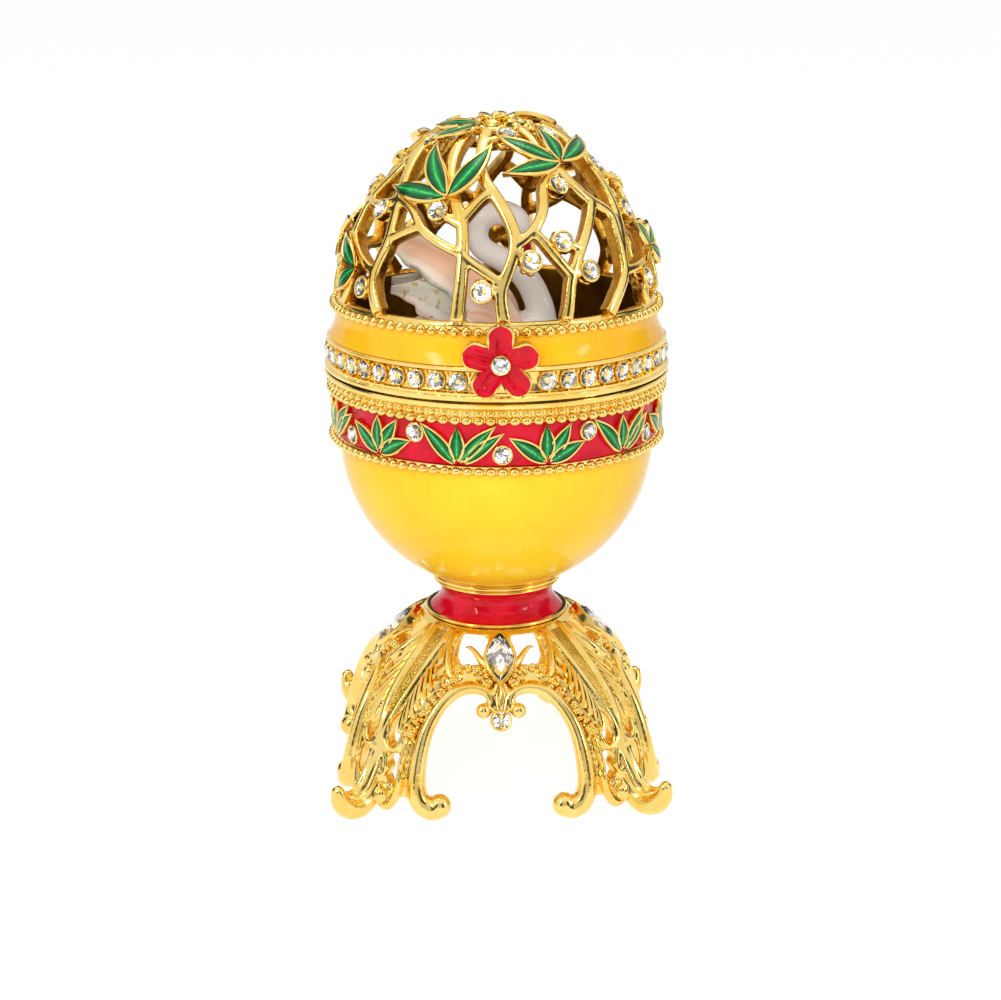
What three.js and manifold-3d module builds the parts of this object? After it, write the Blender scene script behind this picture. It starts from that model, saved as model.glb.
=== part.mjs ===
// Hinged egg-shaped trinket box on a pierced, scroll-footed stand, with a swan inside.
// Millimetres, +Z up. The origin is on the table under the middle of the stand, and the
// flower clasp faces -Y, so the hinge is at +Y.
import * as THREE from 'three';
import { mergeVertices } from 'three/addons/utils/BufferGeometryUtils.js';
import Module from 'manifold-3d';

const wasm = await Module();
wasm.setup();

// Heights, stacked from the table up
const standHeight = 30;
const collarHeight = 6.2;
const bowlHeight = 26.4;
const bowlBeadHeight = 1.6;
const friezeHeight = 7.4;
const doubleBeadHeight = 2.6;
const rimHeight = 0.95;
const seamGap = 0.3;
const lidRimHeight = 0.95;
const stoneBandHeight = 4.8;
const lidEnamelHeight = 5.2;
const lidBeadHeight = 1.7;
const domeHeight = 31.2;
const finialHeight = 0.7;

// Radii of the collar and the bowl, and how far each band stands out from the bowl
const collarFootR = 12.7;
const collarWaistR = 10.2;
const collarTopR = 11.3;
const bowlR = 27.8;
const bowlBeadProud = 1.7;
const friezeProud = 1.1;
const doubleBeadProud = 2.3;
const rimProud = 2.6;
const stoneBandProud = 2.1;
const lidEnamelBottomProud = 1.9;
const lidEnamelTopProud = 0.6;
const lidBeadProud = 1.15;
const domeFootProud = 0.6;

// Walls, sinkings and clearances
const bowlWall = 3;
const bowlFloor = 4.5;
const lidRingWall = 2.5;
const lipHeight = 1.3;
const lipWall = 1;
const lipClearance = 0.35;
const enamelDepth = 0.8;
const enamelGap = 0.25;
const footLine = 0.9;
const ledge = 0.55;
const seatGap = 0.3;

// Stand
const standHalf = 27;
const standCrown = 4;
const standWall = 2.6;
const standSkirtBottom = 3;
const standPlate = 2.6;
const footTipReach = 40.6;
const footContactReach = 35.8;
const scrollR = 1.15;

// Openwork dome
const branchWidth = 1.7;
const branchDepth = 2.2;
const domeFootRing = 0.9;

// Stones
const bandStones = 50;
const bandStoneR = 1.2;
const bandStoneProud = 0.35;
const roundStoneR = 1.55;
const marquiseLength = 8;
const marquiseWidth = 3.9;
const bezelWall = 0.45;

// Clasp flower, hinge, magnets and screw
const flowerR = 6.2;
const flowerPlate = 1.2;
const flowerPad = 8;
const flowerCup = 2.4;
const flowerStoneProud = 0.8;
const barrelR = 1.5;
const barrelStandoff = 0.1;
const pinR = 0.6;
const pinClearance = 0.2;
const knuckleLength = 2.9;
const knuckleGap = 0.25;
const leafPlate = 0.9;
const magnetR = 1.2;
const magnetHeight = 1.6;
const screwR = 1.5;
const screwHeadR = 2.9;
const screwHeadHeight = 1.6;
const screwDepth = 3.2;
const washerHeight = 0.6;

// Swan
const swanWaterline = 70;
const swanBodyLength = 27;
const swanBodyWidth = 13;
const swanBodyHeight = 14;
const swanNeckR = 2.35;
const wingThickness = 1.8;
const postR = 2.2;

// Fineness
const ringSides = 28;
const collarSides = 24;

// Levels that follow from the heights
const bowlZ = standHeight + collarHeight;
const bowlBeadZ = bowlZ + bowlHeight;
const friezeZ = bowlBeadZ + bowlBeadHeight;
const doubleBeadZ = friezeZ + friezeHeight;
const rimZ = doubleBeadZ + doubleBeadHeight;
const rimTopZ = rimZ + rimHeight;
const lidZ = rimTopZ + seamGap;
const stoneBandZ = lidZ + lidRimHeight;
const lidEnamelZ = stoneBandZ + stoneBandHeight;
const lidBeadZ = lidEnamelZ + lidEnamelHeight;
const domeZ = lidBeadZ + lidBeadHeight;

// Radii and places that follow
const bowlBeadR = bowlR + bowlBeadProud;
const friezeR = bowlR + friezeProud;
const doubleBeadR = bowlR + doubleBeadProud;
const rimR = bowlR + rimProud;
const stoneBandR = bowlR + stoneBandProud;
const lidEnamelBottomR = bowlR + lidEnamelBottomProud;
const lidEnamelTopR = bowlR + lidEnamelTopProud;
const lidBeadR = bowlR + lidBeadProud;
const domeFootR = bowlR + domeFootProud;
const hingeY = rimR + barrelStandoff + barrelR;
const hingeZ = (rimTopZ + lidZ) / 2;
const lidInnerR = rimR - lidRingWall - ledge;
const lipR = lidInnerR - lipClearance;

// Geometry helpers

function signedVolume(geometry) {
  const at = geometry.attributes.position;
  const index = geometry.index.array;
  const [a, b, c] = [new THREE.Vector3(), new THREE.Vector3(), new THREE.Vector3()];
  let volume = 0;
  for (let i = 0; i < index.length; i += 3) {
    a.fromBufferAttribute(at, index[i]);
    b.fromBufferAttribute(at, index[i + 1]);
    c.fromBufferAttribute(at, index[i + 2]);
    volume += a.dot(b.cross(c)) / 6;
  }
  return volume;
}

// One closed skin: shared corners are merged, empty triangles dropped and faces turned out.
function closed(geometry) {
  const bare = geometry.clone();
  bare.deleteAttribute('normal');
  bare.deleteAttribute('uv');
  const merged = mergeVertices(bare, 1e-4);
  const kept = [];
  const index = merged.index.array;
  for (let i = 0; i < index.length; i += 3) {
    const [a, b, c] = [index[i], index[i + 1], index[i + 2]];
    if (a !== b && b !== c && c !== a) kept.push(a, b, c);
  }
  merged.setIndex(kept);
  if (signedVolume(merged) < 0) merged.setIndex(kept.reverse());
  return merged;
}

function toSolid(geometry) {
  const skin = closed(geometry);
  const vertProperties = Float32Array.from(skin.attributes.position.array);
  const triVerts = Uint32Array.from(skin.index.array);
  return new wasm.Manifold(new wasm.Mesh({ numProp: 3, vertProperties, triVerts }));
}

function toGeometry(solid) {
  const mesh = solid.getMesh();
  const geometry = new THREE.BufferGeometry();
  geometry.setAttribute('position', new THREE.BufferAttribute(mesh.vertProperties, mesh.numProp));
  geometry.setIndex(new THREE.BufferAttribute(mesh.triVerts, 1));
  return geometry;
}

function join(...geometries) {
  return toGeometry(geometries.map(toSolid).reduce((whole, next) => whole.add(next)));
}

function cut(body, ...tools) {
  return toGeometry(tools.map(toSolid).reduce((rest, tool) => rest.subtract(tool), toSolid(body)));
}

// A profile of [radius, height] points turned about the Z axis.
function revolve(profile, sides = ringSides) {
  const points = profile.map(([r, z]) => new THREE.Vector2(r, z));
  return new THREE.LatheGeometry(points, sides).rotateX(Math.PI / 2);
}

function revolveRing(profile, sides = ringSides) {
  return revolve([...profile, profile[0]], sides);
}

// Skin through rings of equal count, closed by a fan at each end.
function loft(rings) {
  const count = rings[0].length;
  const middle = (ring) => ring.reduce((sum, p) => sum.add(p), new THREE.Vector3()).divideScalar(count);
  const points = [...rings.flat(), middle(rings[0]), middle(rings.at(-1))];
  const index = [];
  for (let i = 0; i < rings.length - 1; i++) {
    for (let j = 0; j < count; j++) {
      const [a, b] = [i * count + j, i * count + ((j + 1) % count)];
      index.push(a, b, b + count, a, b + count, a + count);
    }
  }
  const last = (rings.length - 1) * count;
  for (let j = 0; j < count; j++) {
    const k = (j + 1) % count;
    index.push(points.length - 2, k, j, points.length - 1, last + j, last + k);
  }
  const geometry = new THREE.BufferGeometry().setFromPoints(points);
  geometry.setIndex(index);
  return geometry;
}

// A section of [side, out] points carried along a path, with its own "out" direction at each point.
function sweep(path, outAt, sectionAt) {
  return loft(path.map((point, i) => {
    const before = path[Math.max(i - 1, 0)];
    const after = path[Math.min(i + 1, path.length - 1)];
    const along = after.clone().sub(before).normalize();
    const side = outAt(point, i).clone().cross(along).normalize();
    const out = along.clone().cross(side);
    const section = sectionAt(i / (path.length - 1), i);
    return section.map(([s, o]) => point.clone().addScaledVector(side, s).addScaledVector(out, o));
  }));
}

function circle(r, sides, squash = 1) {
  return Array.from({ length: sides }, (_, i) => {
    const turn = ((i + 0.5) / sides) * 2 * Math.PI;
    return [r * Math.cos(turn), r * squash * Math.sin(turn)];
  });
}

function between(list, t) {
  const at = t * (list.length - 1);
  const i = Math.min(Math.floor(at), list.length - 2);
  return THREE.MathUtils.lerp(list[i], list[i + 1], at - i);
}

function curve(points, steps) {
  return new THREE.CatmullRomCurve3(points, false, 'centripetal').getSpacedPoints(steps);
}

function prism(outline, depth) {
  const shape = new THREE.Shape(outline.map(([x, y]) => new THREE.Vector2(x, y)));
  return new THREE.ExtrudeGeometry(shape, { depth, bevelEnabled: false });
}

// Turns a flat x-y geometry with its thickness along z so that it faces outward at an azimuth.
function facing(geometry, azimuth, radius, z, lean = 0) {
  return geometry
    .rotateX(Math.PI / 2 - lean)
    .translate(0, -radius, z)
    .rotateZ(THREE.MathUtils.degToRad(azimuth));
}

function polar(azimuth, r, z) {
  const turn = THREE.MathUtils.degToRad(azimuth);
  return new THREE.Vector3(r * Math.sin(turn), -r * Math.cos(turn), z);
}

function outwards(point) {
  return new THREE.Vector3(point.x, point.y, 0).normalize();
}

// Half-round moulding between two heights, as profile points without its ends.
function moulding(r, z0, z1, proud, steps = 2) {
  return Array.from({ length: steps - 1 }, (_, i) => {
    const turn = ((i + 1) / steps) * Math.PI;
    const z = (z0 + z1) / 2 - ((z1 - z0) / 2) * Math.cos(turn);
    return [r + proud * Math.sin(turn), z];
  });
}

// Points of a wall whose outer radius is a function of height, set in along the wall's normal.
function wallPoints(radiusAt, z0, z1, steps, inset) {
  return Array.from({ length: steps + 1 }, (_, i) => {
    const z = THREE.MathUtils.lerp(z0, z1, i / steps);
    const slope = (radiusAt(z + 0.01) - radiusAt(z - 0.01)) / 0.02;
    const length = Math.hypot(1, slope);
    return [radiusAt(z) - inset / length, z + (inset * slope) / length];
  });
}

// Egg profile

function bowlRadiusAt(z) {
  const drop = bowlHeight + 1.4;
  const share = Math.min((bowlBeadZ - z) / drop, 0.999);
  return bowlR * Math.sqrt(1 - share * share);
}

function coveRadiusAt(z) {
  const share = (z - lidEnamelZ) / lidEnamelHeight;
  const straight = THREE.MathUtils.lerp(lidEnamelBottomR, lidEnamelTopR, share);
  return straight - 0.55 * Math.sin(Math.PI * share);
}

function collarRadiusAt(z) {
  const share = (z - standHeight) / collarHeight;
  const straight = THREE.MathUtils.lerp(collarFootR, collarTopR, share);
  const waist = (collarFootR + collarTopR) / 2 - collarWaistR;
  return straight - waist * Math.sin(Math.PI * share);
}

function domeRadiusAt(share) {
  return domeFootR * Math.sqrt(Math.max(1 - share ** 1.6, 0));
}

function onDome(azimuth, percent, lift = 0) {
  const share = percent / 100;
  const r = domeRadiusAt(share);
  const slope = (domeRadiusAt(Math.max(share - 0.01, 0)) - domeRadiusAt(Math.min(share + 0.01, 1))) / 0.02;
  const normal = new THREE.Vector2(domeHeight, slope).normalize();
  return polar(azimuth, r + lift * normal.x, domeZ + share * domeHeight + lift * normal.y);
}

function domeNormal(point) {
  const share = THREE.MathUtils.clamp((point.z - domeZ) / domeHeight, 0, 1);
  return outwards(point).multiplyScalar(1 - share * 0.5).add(new THREE.Vector3(0, 0, share)).normalize();
}

// Lid

function lidBand() {
  const groove = stoneBandR - 1;
  const cove = wallPoints(coveRadiusAt, lidEnamelZ, lidBeadZ, 3, enamelDepth);
  const topInnerR = domeFootR - branchDepth;
  const ring = revolveRing([
    [lidInnerR, lidZ],
    [rimR, lidZ],
    [rimR, stoneBandZ],
    [stoneBandR, stoneBandZ],
    [stoneBandR, stoneBandZ + ledge],
    [groove, stoneBandZ + ledge],
    [groove, lidEnamelZ - ledge],
    [stoneBandR, lidEnamelZ - ledge],
    [lidEnamelBottomR, lidEnamelZ],
    ...cove,
    [lidEnamelTopR, lidBeadZ],
    ...moulding(domeFootR, lidBeadZ, domeZ, lidBeadR - domeFootR),
    [domeFootR, domeZ],
    [topInnerR, domeZ],
    [topInnerR, lidBeadZ],
    [lidInnerR, lidEnamelZ],
  ]);
  const padBack = groove - 0.5;
  const padFront = stoneBandR;
  const padHeight = lidBeadZ - stoneBandZ - ledge;
  const pad = new THREE.BoxGeometry(flowerPad, padFront - padBack, padHeight)
    .translate(0, -(padFront + padBack) / 2, stoneBandZ + ledge / 2 + padHeight / 2);
  const pocket = new THREE.CylinderGeometry(magnetR + 0.15, magnetR + 0.15, 2 * (magnetHeight + 0.3), 8)
    .rotateX(Math.PI / 2)
    .translate(0, -(lidInnerR + rimR) / 2, lidZ);
  return cut(join(ring, pad), pocket);
}

function lidEnamel() {
  const outer = wallPoints(coveRadiusAt, lidEnamelZ + enamelGap, lidBeadZ - enamelGap, 3, 0);
  const skin = enamelDepth - enamelGap;
  const inner = wallPoints(coveRadiusAt, lidEnamelZ + enamelGap, lidBeadZ - enamelGap, 3, skin);
  const ring = revolveRing([...outer, ...inner.reverse()]);
  const notch = new THREE.BoxGeometry(flowerPad + 2 * seatGap, 10, 2 * lidEnamelHeight)
    .translate(0, -lidEnamelBottomR, (lidEnamelZ + lidBeadZ) / 2);
  return cut(ring, notch);
}

// A strip of set stones: its face swells once for every stone. It stops short of the flower.
function lidStoneRow() {
  const steps = bandStones * 2;
  const [bottom, top] = [stoneBandZ + ledge + enamelGap, lidEnamelZ - ledge - enamelGap];
  const middle = (bottom + top) / 2;
  const back = stoneBandR - 1 + enamelGap;
  const blank = Math.ceil((((flowerPad / 2 + 1.2) / stoneBandR) * steps) / (2 * Math.PI));
  const rings = [];
  for (let i = blank; i <= steps - blank; i++) {
    const crown = stoneBandR + (i % 2 ? -0.25 : bandStoneProud);
    const azimuth = (i * 360) / steps;
    rings.push([
      polar(azimuth, back, bottom),
      polar(azimuth, crown, middle - bandStoneR * 0.6),
      polar(azimuth, crown, middle + bandStoneR * 0.6),
      polar(azimuth, back, top),
    ]);
  }
  return loft(rings);
}

// Branches of half the dome, as [azimuth in degrees, percent of the dome's height].
// The other half is the same, turned half round.
const branches = [
  { name: 'left trunk', width: 1.1,
    path: [[-47, 2.6], [-52, 22], [-48, 40], [-53, 60], [-59, 72], [-70, 86], [-80, 95]] },
  { name: 'left trunk twig', width: 0.8, path: [[-48, 40], [-35, 48]] },
  { name: 'bridge to the left trunk', width: 0.85,
    path: [[-15, 36], [-25, 41], [-35, 48], [-41, 56], [-53, 60]] },
  { name: 'middle left trunk', width: 1.1,
    path: [[-15.5, 2.6], [-14.5, 28], [-16.5, 53], [-24, 65]] },
  { name: 'middle left twig', width: 0.9, path: [[-16.5, 53], [-10, 63], [-4, 67]] },
  { name: 'middle trunk', width: 1.1,
    path: [[0.5, 2.6], [0, 21], [6, 41], [2.5, 56], [-4, 67], [-11, 76], [-14, 94]] },
  { name: 'link to the middle trunk', width: 0.85, path: [[0, 21], [-12, 32]] },
  { name: 'middle right branch', width: 0.95,
    path: [[6, 41], [13, 47], [20, 59], [22, 70], [30, 74], [36, 76], [30, 94]] },
  { name: 'bridge to the right trunk', width: 0.9, path: [[13, 47], [18.5, 38], [26, 24]] },
  { name: 'right trunk', width: 1, path: [[22.5, 2.6], [26, 24], [33.5, 40], [46, 58]] },
  { name: 'far right trunk', width: 1.1,
    path: [[40.5, 2.6], [52, 22], [54, 41], [56, 52], [46, 59], [38, 71], [36, 76]] },
  { name: 'outer rib', width: 1.05, path: [[53, 30], [64, 58], [67, 78], [78, 94]] },
  { name: 'right side link', width: 0.9, path: [[52, 22], [66, 23], [84, 31], [103, 37]] },
  { name: 'left side link', width: 0.9, path: [[-52, 22], [-64, 28], [-77, 37]] },
  { name: 'side trunk', width: 1.1,
    path: [[-88, 2.6], [-87, 20], [-77, 37], [-81, 56], [-70, 72], [-70, 86]] },
  { name: 'side bridge', width: 0.8, path: [[-81, 56], [-66, 55], [-53, 60]] },
];

function branch(path, width) {
  const points = path.map(([azimuth, percent]) => onDome(azimuth, percent));
  const length = points.slice(1).reduce((sum, p, i) => sum + p.distanceTo(points[i]), 0);
  const route = curve(points, Math.max(Math.round(length / 7.5), 1));
  const half = (branchWidth * width) / 2;
  const section = [[-half, 0], [half, 0], [0, -branchDepth]];
  return sweep(route, domeNormal, () => section);
}

function lidLattice() {
  const rimInner = domeFootR - branchDepth;
  const foot = revolveRing([
    [rimInner + 0.1, domeZ],
    [domeFootR - 0.1, domeZ],
    [domeFootR - 0.1, domeZ + domeFootRing],
    [rimInner + 0.1, domeZ + domeFootRing],
  ]);
  const crownR = domeRadiusAt(0.95);
  const crownZ = domeZ + domeHeight;
  const crown = revolve([
    [0, crownZ - branchDepth],
    [crownR, domeZ + 0.93 * domeHeight - 0.6],
    [crownR + 0.6, domeZ + 0.945 * domeHeight],
    [crownR * 0.45, crownZ - 0.5],
    [0, crownZ + finialHeight],
  ], 10);
  const pieces = [];
  for (const half of [0, 180]) {
    for (const { path, width } of branches) {
      pieces.push(branch(path.map(([azimuth, percent]) => [azimuth + half, percent]), width));
    }
  }
  return join(foot, crown, ...pieces);
}

// A spray of leaves lying on a surface. Place turns [azimuth, height] and a lift into a point, and
// the tips go round clockwise, seen from outside. Each leaf is widest before its middle.
function spray(place, normalAt, foot, tips, leafWidth, lift, thickness) {
  const lerp = THREE.MathUtils.lerp;
  const at = ([x, y], t, raise) => place(lerp(foot[0], x, t), lerp(foot[1], y, t), raise);
  const mean = tips.reduce((sum, [x, y]) => [sum[0] + x / tips.length, sum[1] + y / tips.length], [0, 0]);
  const outline = (raise) => {
    const leaves = tips.flatMap((tip) => {
      const along = at(tip, 0.55, raise).sub(at(tip, 0.35, raise)).normalize();
      const side = along.cross(normalAt(at(tip, 0.45, raise)));
      const half = leafWidth / 2;
      const corners = [[0.42, -half], [1, 0], [0.42, half]];
      return corners.map(([t, across]) => at(tip, t, raise).addScaledVector(side, across));
    });
    return [...leaves, at(mean, -0.15, raise)];
  };
  const [top, bottom] = [outline(lift), outline(lift - thickness)];
  const count = top.length;
  const points = [...top, ...bottom, at(mean, 0, lift), at(mean, 0, lift - thickness)];
  const index = [];
  for (let i = 0; i < count; i++) {
    const j = (i + 1) % count;
    index.push(2 * count, j, i, 2 * count + 1, count + i, count + j);
    index.push(i, j, count + j, i, count + j, count + i);
  }
  const geometry = new THREE.BufferGeometry().setFromPoints(points);
  geometry.setIndex(index);
  return geometry;
}

const domeSprays = [
  { foot: [-24, 65], tips: [[-58, 64], [-47, 85], [-5, 86]] },
  { foot: [36, 77], tips: [[1, 73], [-2, 90], [38, 93], [76, 86]] },
  { foot: [-64, 22], tips: [[-75, 7], [-82, 36]] },
  { foot: [72, 30], tips: [[66, 44], [86, 40], [80, 18]] },
];
const leafWidth = 3.1;
const leafThickness = 0.8;
const leafLift = seatGap + leafThickness;

function domeSpray({ foot, tips }, half) {
  const turned = ([azimuth, percent]) => [azimuth + half, percent];
  return spray(onDome, domeNormal, turned(foot), tips.map(turned), leafWidth, leafLift, leafThickness);
}

// Clasp flower

function petals(count, r, innerR) {
  const outline = [];
  for (let i = 0; i < count; i++) {
    const middle = (i / count) * 2 * Math.PI + Math.PI / 2;
    const edge = [[-0.63, innerR], [-0.42, r * 0.88], [-0.12, r], [0.12, r], [0.42, r * 0.88]];
    for (const [turn, reach] of edge) {
      outline.push([reach * Math.cos(middle + turn), reach * Math.sin(middle + turn)]);
    }
  }
  return outline;
}

const stoneTable = 0.38;

// A cut stone of unit radius, as a profile: pavilion, girdle and table.
function stoneGeometry(r, sides = 6) {
  const profile = [[0, -0.5], [0.95, -0.08], [0.95, 0.05], [0.55, stoneTable], [0, stoneTable]];
  return revolve(profile.map(([x, z]) => [x * r, z * r]), sides);
}

const flowerZ = lidEnamelZ + 0.8;
const flowerBack = stoneBandR + seatGap + 0.1;
const enamelFace = flowerBack + flowerPlate + 0.2;

function claspFlower() {
  const plate = prism(petals(5, flowerR, flowerR * 0.5), flowerPlate);
  const cup = revolve([
    [0, 0.2],
    [roundStoneR + bezelWall, 0.2],
    [roundStoneR + bezelWall, flowerCup],
    [roundStoneR + 0.1, flowerCup],
    [roundStoneR + 0.1, flowerCup - 0.5],
    [0, flowerCup - 1.2],
  ], 10);
  return facing(join(plate, cup), 0, flowerBack, flowerZ);
}

function flowerEnamel() {
  const sheet = prism(petals(5, flowerR - 0.5, flowerR * 0.5 - 0.25), 0.7);
  const holeR = roundStoneR + bezelWall + 0.2;
  const hole = new THREE.CylinderGeometry(holeR, holeR, 4, 10).rotateX(Math.PI / 2);
  return facing(cut(sheet, hole), 0, enamelFace, flowerZ);
}

function flowerStone() {
  const table = stoneTable * roundStoneR;
  return facing(stoneGeometry(roundStoneR), 0, flowerBack + flowerCup + flowerStoneProud - table, flowerZ);
}

// Hinge

function barrel(length) {
  const boreR = pinR + pinClearance;
  const ring = [[boreR, -length / 2], [barrelR, -length / 2], [barrelR, length / 2], [boreR, length / 2]];
  return revolveRing(ring, 10).rotateY(Math.PI / 2);
}

const plateY = rimR + 0.25;

function leafPlateAt(length, z0, z1) {
  return new THREE.BoxGeometry(length, leafPlate, z1 - z0)
    .translate(0, plateY + leafPlate / 2 - hingeY, (z0 + z1) / 2 - hingeZ);
}

function lidHingeLeaf() {
  const plate = leafPlateAt(knuckleLength, barrelR * 0.55 + hingeZ, lidEnamelZ);
  return join(barrel(knuckleLength), plate).translate(0, hingeY, hingeZ);
}

function baseHingeLeaf() {
  const reach = knuckleLength + knuckleGap;
  const length = 2 * reach + knuckleLength;
  const low = doubleBeadZ - 0.8;
  const belowLid = hingeZ - barrelR - 0.35;
  const plate = leafPlateAt(length, low, belowLid);
  const parts = [plate];
  for (const side of [-1, 1]) {
    parts.push(barrel(knuckleLength).translate(side * reach, 0, 0));
    const tab = leafPlateAt(knuckleLength, belowLid - 0.3, hingeZ - barrelR * 0.55);
    parts.push(tab.translate(side * reach, 0, 0));
  }
  return join(...parts).translate(0, hingeY, hingeZ);
}

function hingePin() {
  const length = 3 * knuckleLength + 2 * knuckleGap + 0.5;
  const pin = new THREE.CylinderGeometry(pinR, pinR, length, 8);
  return pin.rotateZ(Math.PI / 2).translate(0, hingeY, hingeZ);
}

function magnet() {
  return new THREE.CylinderGeometry(magnetR, magnetR, magnetHeight, 8).rotateX(Math.PI / 2);
}

// Bowl and collar

const friezeFloorR = friezeR - enamelDepth;
const interiorR = lipR - lipWall;

function bowl() {
  const [bottom, top] = [bowlZ + footLine, bowlBeadZ];
  const sinking = wallPoints(bowlRadiusAt, bottom, top, 4, enamelDepth);
  const inside = wallPoints(bowlRadiusAt, bowlBeadZ, bowlZ + 8, 4, bowlWall);
  const floorZ = bowlZ + bowlFloor;
  const screwTop = bowlZ + screwDepth;
  const body = revolve([
    [0, screwTop],
    [screwR + 0.15, screwTop],
    [screwR + 0.15, bowlZ],
    [collarTopR - 0.1, bowlZ],
    [collarTopR + 0.2, bottom],
    ...sinking,
    [bowlR, bowlBeadZ],
    ...moulding(bowlR + 0.5, bowlBeadZ, friezeZ, bowlBeadR - bowlR - 0.5),
    [friezeR, friezeZ],
    [friezeFloorR, friezeZ],
    [friezeFloorR, doubleBeadZ],
    [friezeR, doubleBeadZ],
    ...moulding(doubleBeadR - 0.5, doubleBeadZ, rimZ, 0.5),
    [rimR, rimZ],
    [rimR, rimTopZ],
    [lipR, rimTopZ],
    [lipR, rimTopZ + lipHeight],
    [interiorR, rimTopZ + lipHeight],
    [interiorR, friezeZ],
    ...inside,
    [bowlRadiusAt(bowlZ + 5) - bowlWall, floorZ],
    [0, floorZ],
  ]);
  const pocket = new THREE.CylinderGeometry(magnetR + 0.15, magnetR + 0.15, 2 * (magnetHeight + 0.3), 8)
    .rotateX(Math.PI / 2)
    .translate(0, -(lidInnerR + rimR) / 2, rimTopZ);
  return cut(body, pocket);
}

function bowlEnamel() {
  const [bottom, top] = [bowlZ + footLine + enamelGap, bowlBeadZ - enamelGap];
  const outer = wallPoints(bowlRadiusAt, bottom, top, 4, 0);
  const inner = wallPoints(bowlRadiusAt, bottom, top, 4, enamelDepth - enamelGap);
  return revolveRing([...outer, ...inner.reverse()]);
}

const friezeCount = 12;
const friezeCupR = 1.45;
const friezeFace = friezeR - 0.15;

// The frieze's red enamel with its stones: they stand high and low in turn.
function friezeEnamel() {
  const [bottom, top] = [friezeZ + enamelGap, doubleBeadZ - enamelGap];
  const backR = friezeFloorR + enamelGap;
  const ring = revolveRing([[friezeFace, bottom], [friezeFace, top], [backR, top], [backR, bottom]]);
  const stones = Array.from({ length: friezeCount }, (_, i) => {
    const z = friezeZ + friezeHeight * (i % 2 ? 0.68 : 0.3);
    const cup = new THREE.CylinderGeometry(friezeCupR * 0.7, friezeCupR, 1.5, 5);
    return facing(cup.rotateX(Math.PI / 2), (i * 360) / friezeCount, friezeFace + 0.35, z);
  });
  return join(ring, ...stones);
}

function onFrieze(azimuth, height, lift) {
  return polar(azimuth, friezeFace + lift, height);
}

// Leaf tips of the two sprays that take turns, as [degrees from the middle, share of the height].
const friezeFans = [
  [[-12, 0.68], [-2.5, 0.93], [5.5, 0.93], [12, 0.48]],
  [[-11.5, 0.93], [-1, 0.86], [6, 0.93], [12.5, 0.66]],
];
const friezeLeafWidth = 1.35;
const friezeLeafThickness = 0.6;

function friezeSpray(i) {
  const middle = ((i + 0.5) * 360) / friezeCount;
  const foot = [middle, friezeZ + 0.8];
  const fan = friezeFans[i % friezeFans.length];
  const tips = fan.map(([turn, reach]) => [middle + turn, friezeZ + friezeHeight * reach]);
  const lift = seatGap + friezeLeafThickness;
  return spray(onFrieze, outwards, foot, tips, friezeLeafWidth, lift, friezeLeafThickness);
}

function collar() {
  const waist = wallPoints(collarRadiusAt, standHeight + ledge, bowlZ - ledge * 0.6, 3, enamelDepth);
  return revolveRing([
    [screwR + 0.3, standHeight],
    [collarFootR, standHeight],
    [collarFootR, standHeight + ledge],
    ...waist,
    [collarTopR, bowlZ - ledge * 0.6],
    [collarTopR, bowlZ],
    [screwR + 0.3, bowlZ],
  ], collarSides);
}

function collarEnamel() {
  const [bottom, top] = [standHeight + ledge + enamelGap, bowlZ - ledge * 0.6 - enamelGap];
  const outer = wallPoints(collarRadiusAt, bottom, top, 3, 0);
  const inner = wallPoints(collarRadiusAt, bottom, top, 3, enamelDepth - enamelGap);
  return revolveRing([...outer, ...inner.reverse()], collarSides);
}

// Stand: a domed skirt on a plan that turns from a circle at the collar to a rounded square below.

function standHalfAt(z) {
  const share = z / (standHeight + standCrown);
  return standHalf * Math.sqrt(1 - share * share);
}

function standRadius(azimuth, z) {
  const turn = THREE.MathUtils.degToRad(azimuth);
  const low = THREE.MathUtils.clamp((standHeight - z) / (standHeight * 0.53), 0, 1);
  const power = 2 + 2 * low * low * (3 - 2 * low);
  const sum = Math.abs(Math.cos(turn)) ** power + Math.abs(Math.sin(turn)) ** power;
  return standHalfAt(z) / sum ** (1 / power);
}

function onStand(azimuth, z, lift = 0) {
  return polar(azimuth, standRadius(azimuth, z) + lift, z);
}

// A point on the side that faces azimuth 0, from its distance to the middle.
function onStandSide(across, z, lift = 0) {
  let azimuth = 0;
  for (let i = 0; i < 8; i++) {
    azimuth = THREE.MathUtils.radToDeg(Math.asin(across / standRadius(azimuth, z)));
  }
  return onStand(azimuth, z, lift);
}

function standSkirt() {
  const levels = [0, 0.4, 0.7, 0.88, 1];
  const steps = 32;
  const sections = Array.from({ length: steps }, (_, i) => {
    const azimuth = (i * 360) / steps;
    const heightAt = (share) => THREE.MathUtils.lerp(standSkirtBottom, standHeight, share);
    const outer = levels.map((share) => onStand(azimuth, heightAt(share)));
    const inner = levels.slice(0, -1).map((share) => {
      const z = heightAt(share) - share * standWall * 0.8;
      return polar(azimuth, standRadius(azimuth, heightAt(share)) - standWall * (1 - 0.25 * share), z);
    });
    inner[0].z = standSkirtBottom;
    inner.push(polar(azimuth, standRadius(azimuth, standHeight) - standWall * 2, standHeight - standPlate));
    inner.push(polar(azimuth, standRadius(azimuth, standHeight) - standWall * 2, standHeight));
    return [...outer, ...inner.reverse()];
  });
  const count = sections[0].length;
  const index = [];
  for (let i = 0; i < steps; i++) {
    for (let j = 0; j < count; j++) {
      const [a, b] = [i * count + j, i * count + ((j + 1) % count)];
      const [c, d] = [((i + 1) % steps) * count + j, ((i + 1) % steps) * count + ((j + 1) % count)];
      index.push(a, b, d, a, d, c);
    }
  }
  const geometry = new THREE.BufferGeometry().setFromPoints(sections.flat());
  geometry.setIndex(index);
  return geometry;
}

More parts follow.
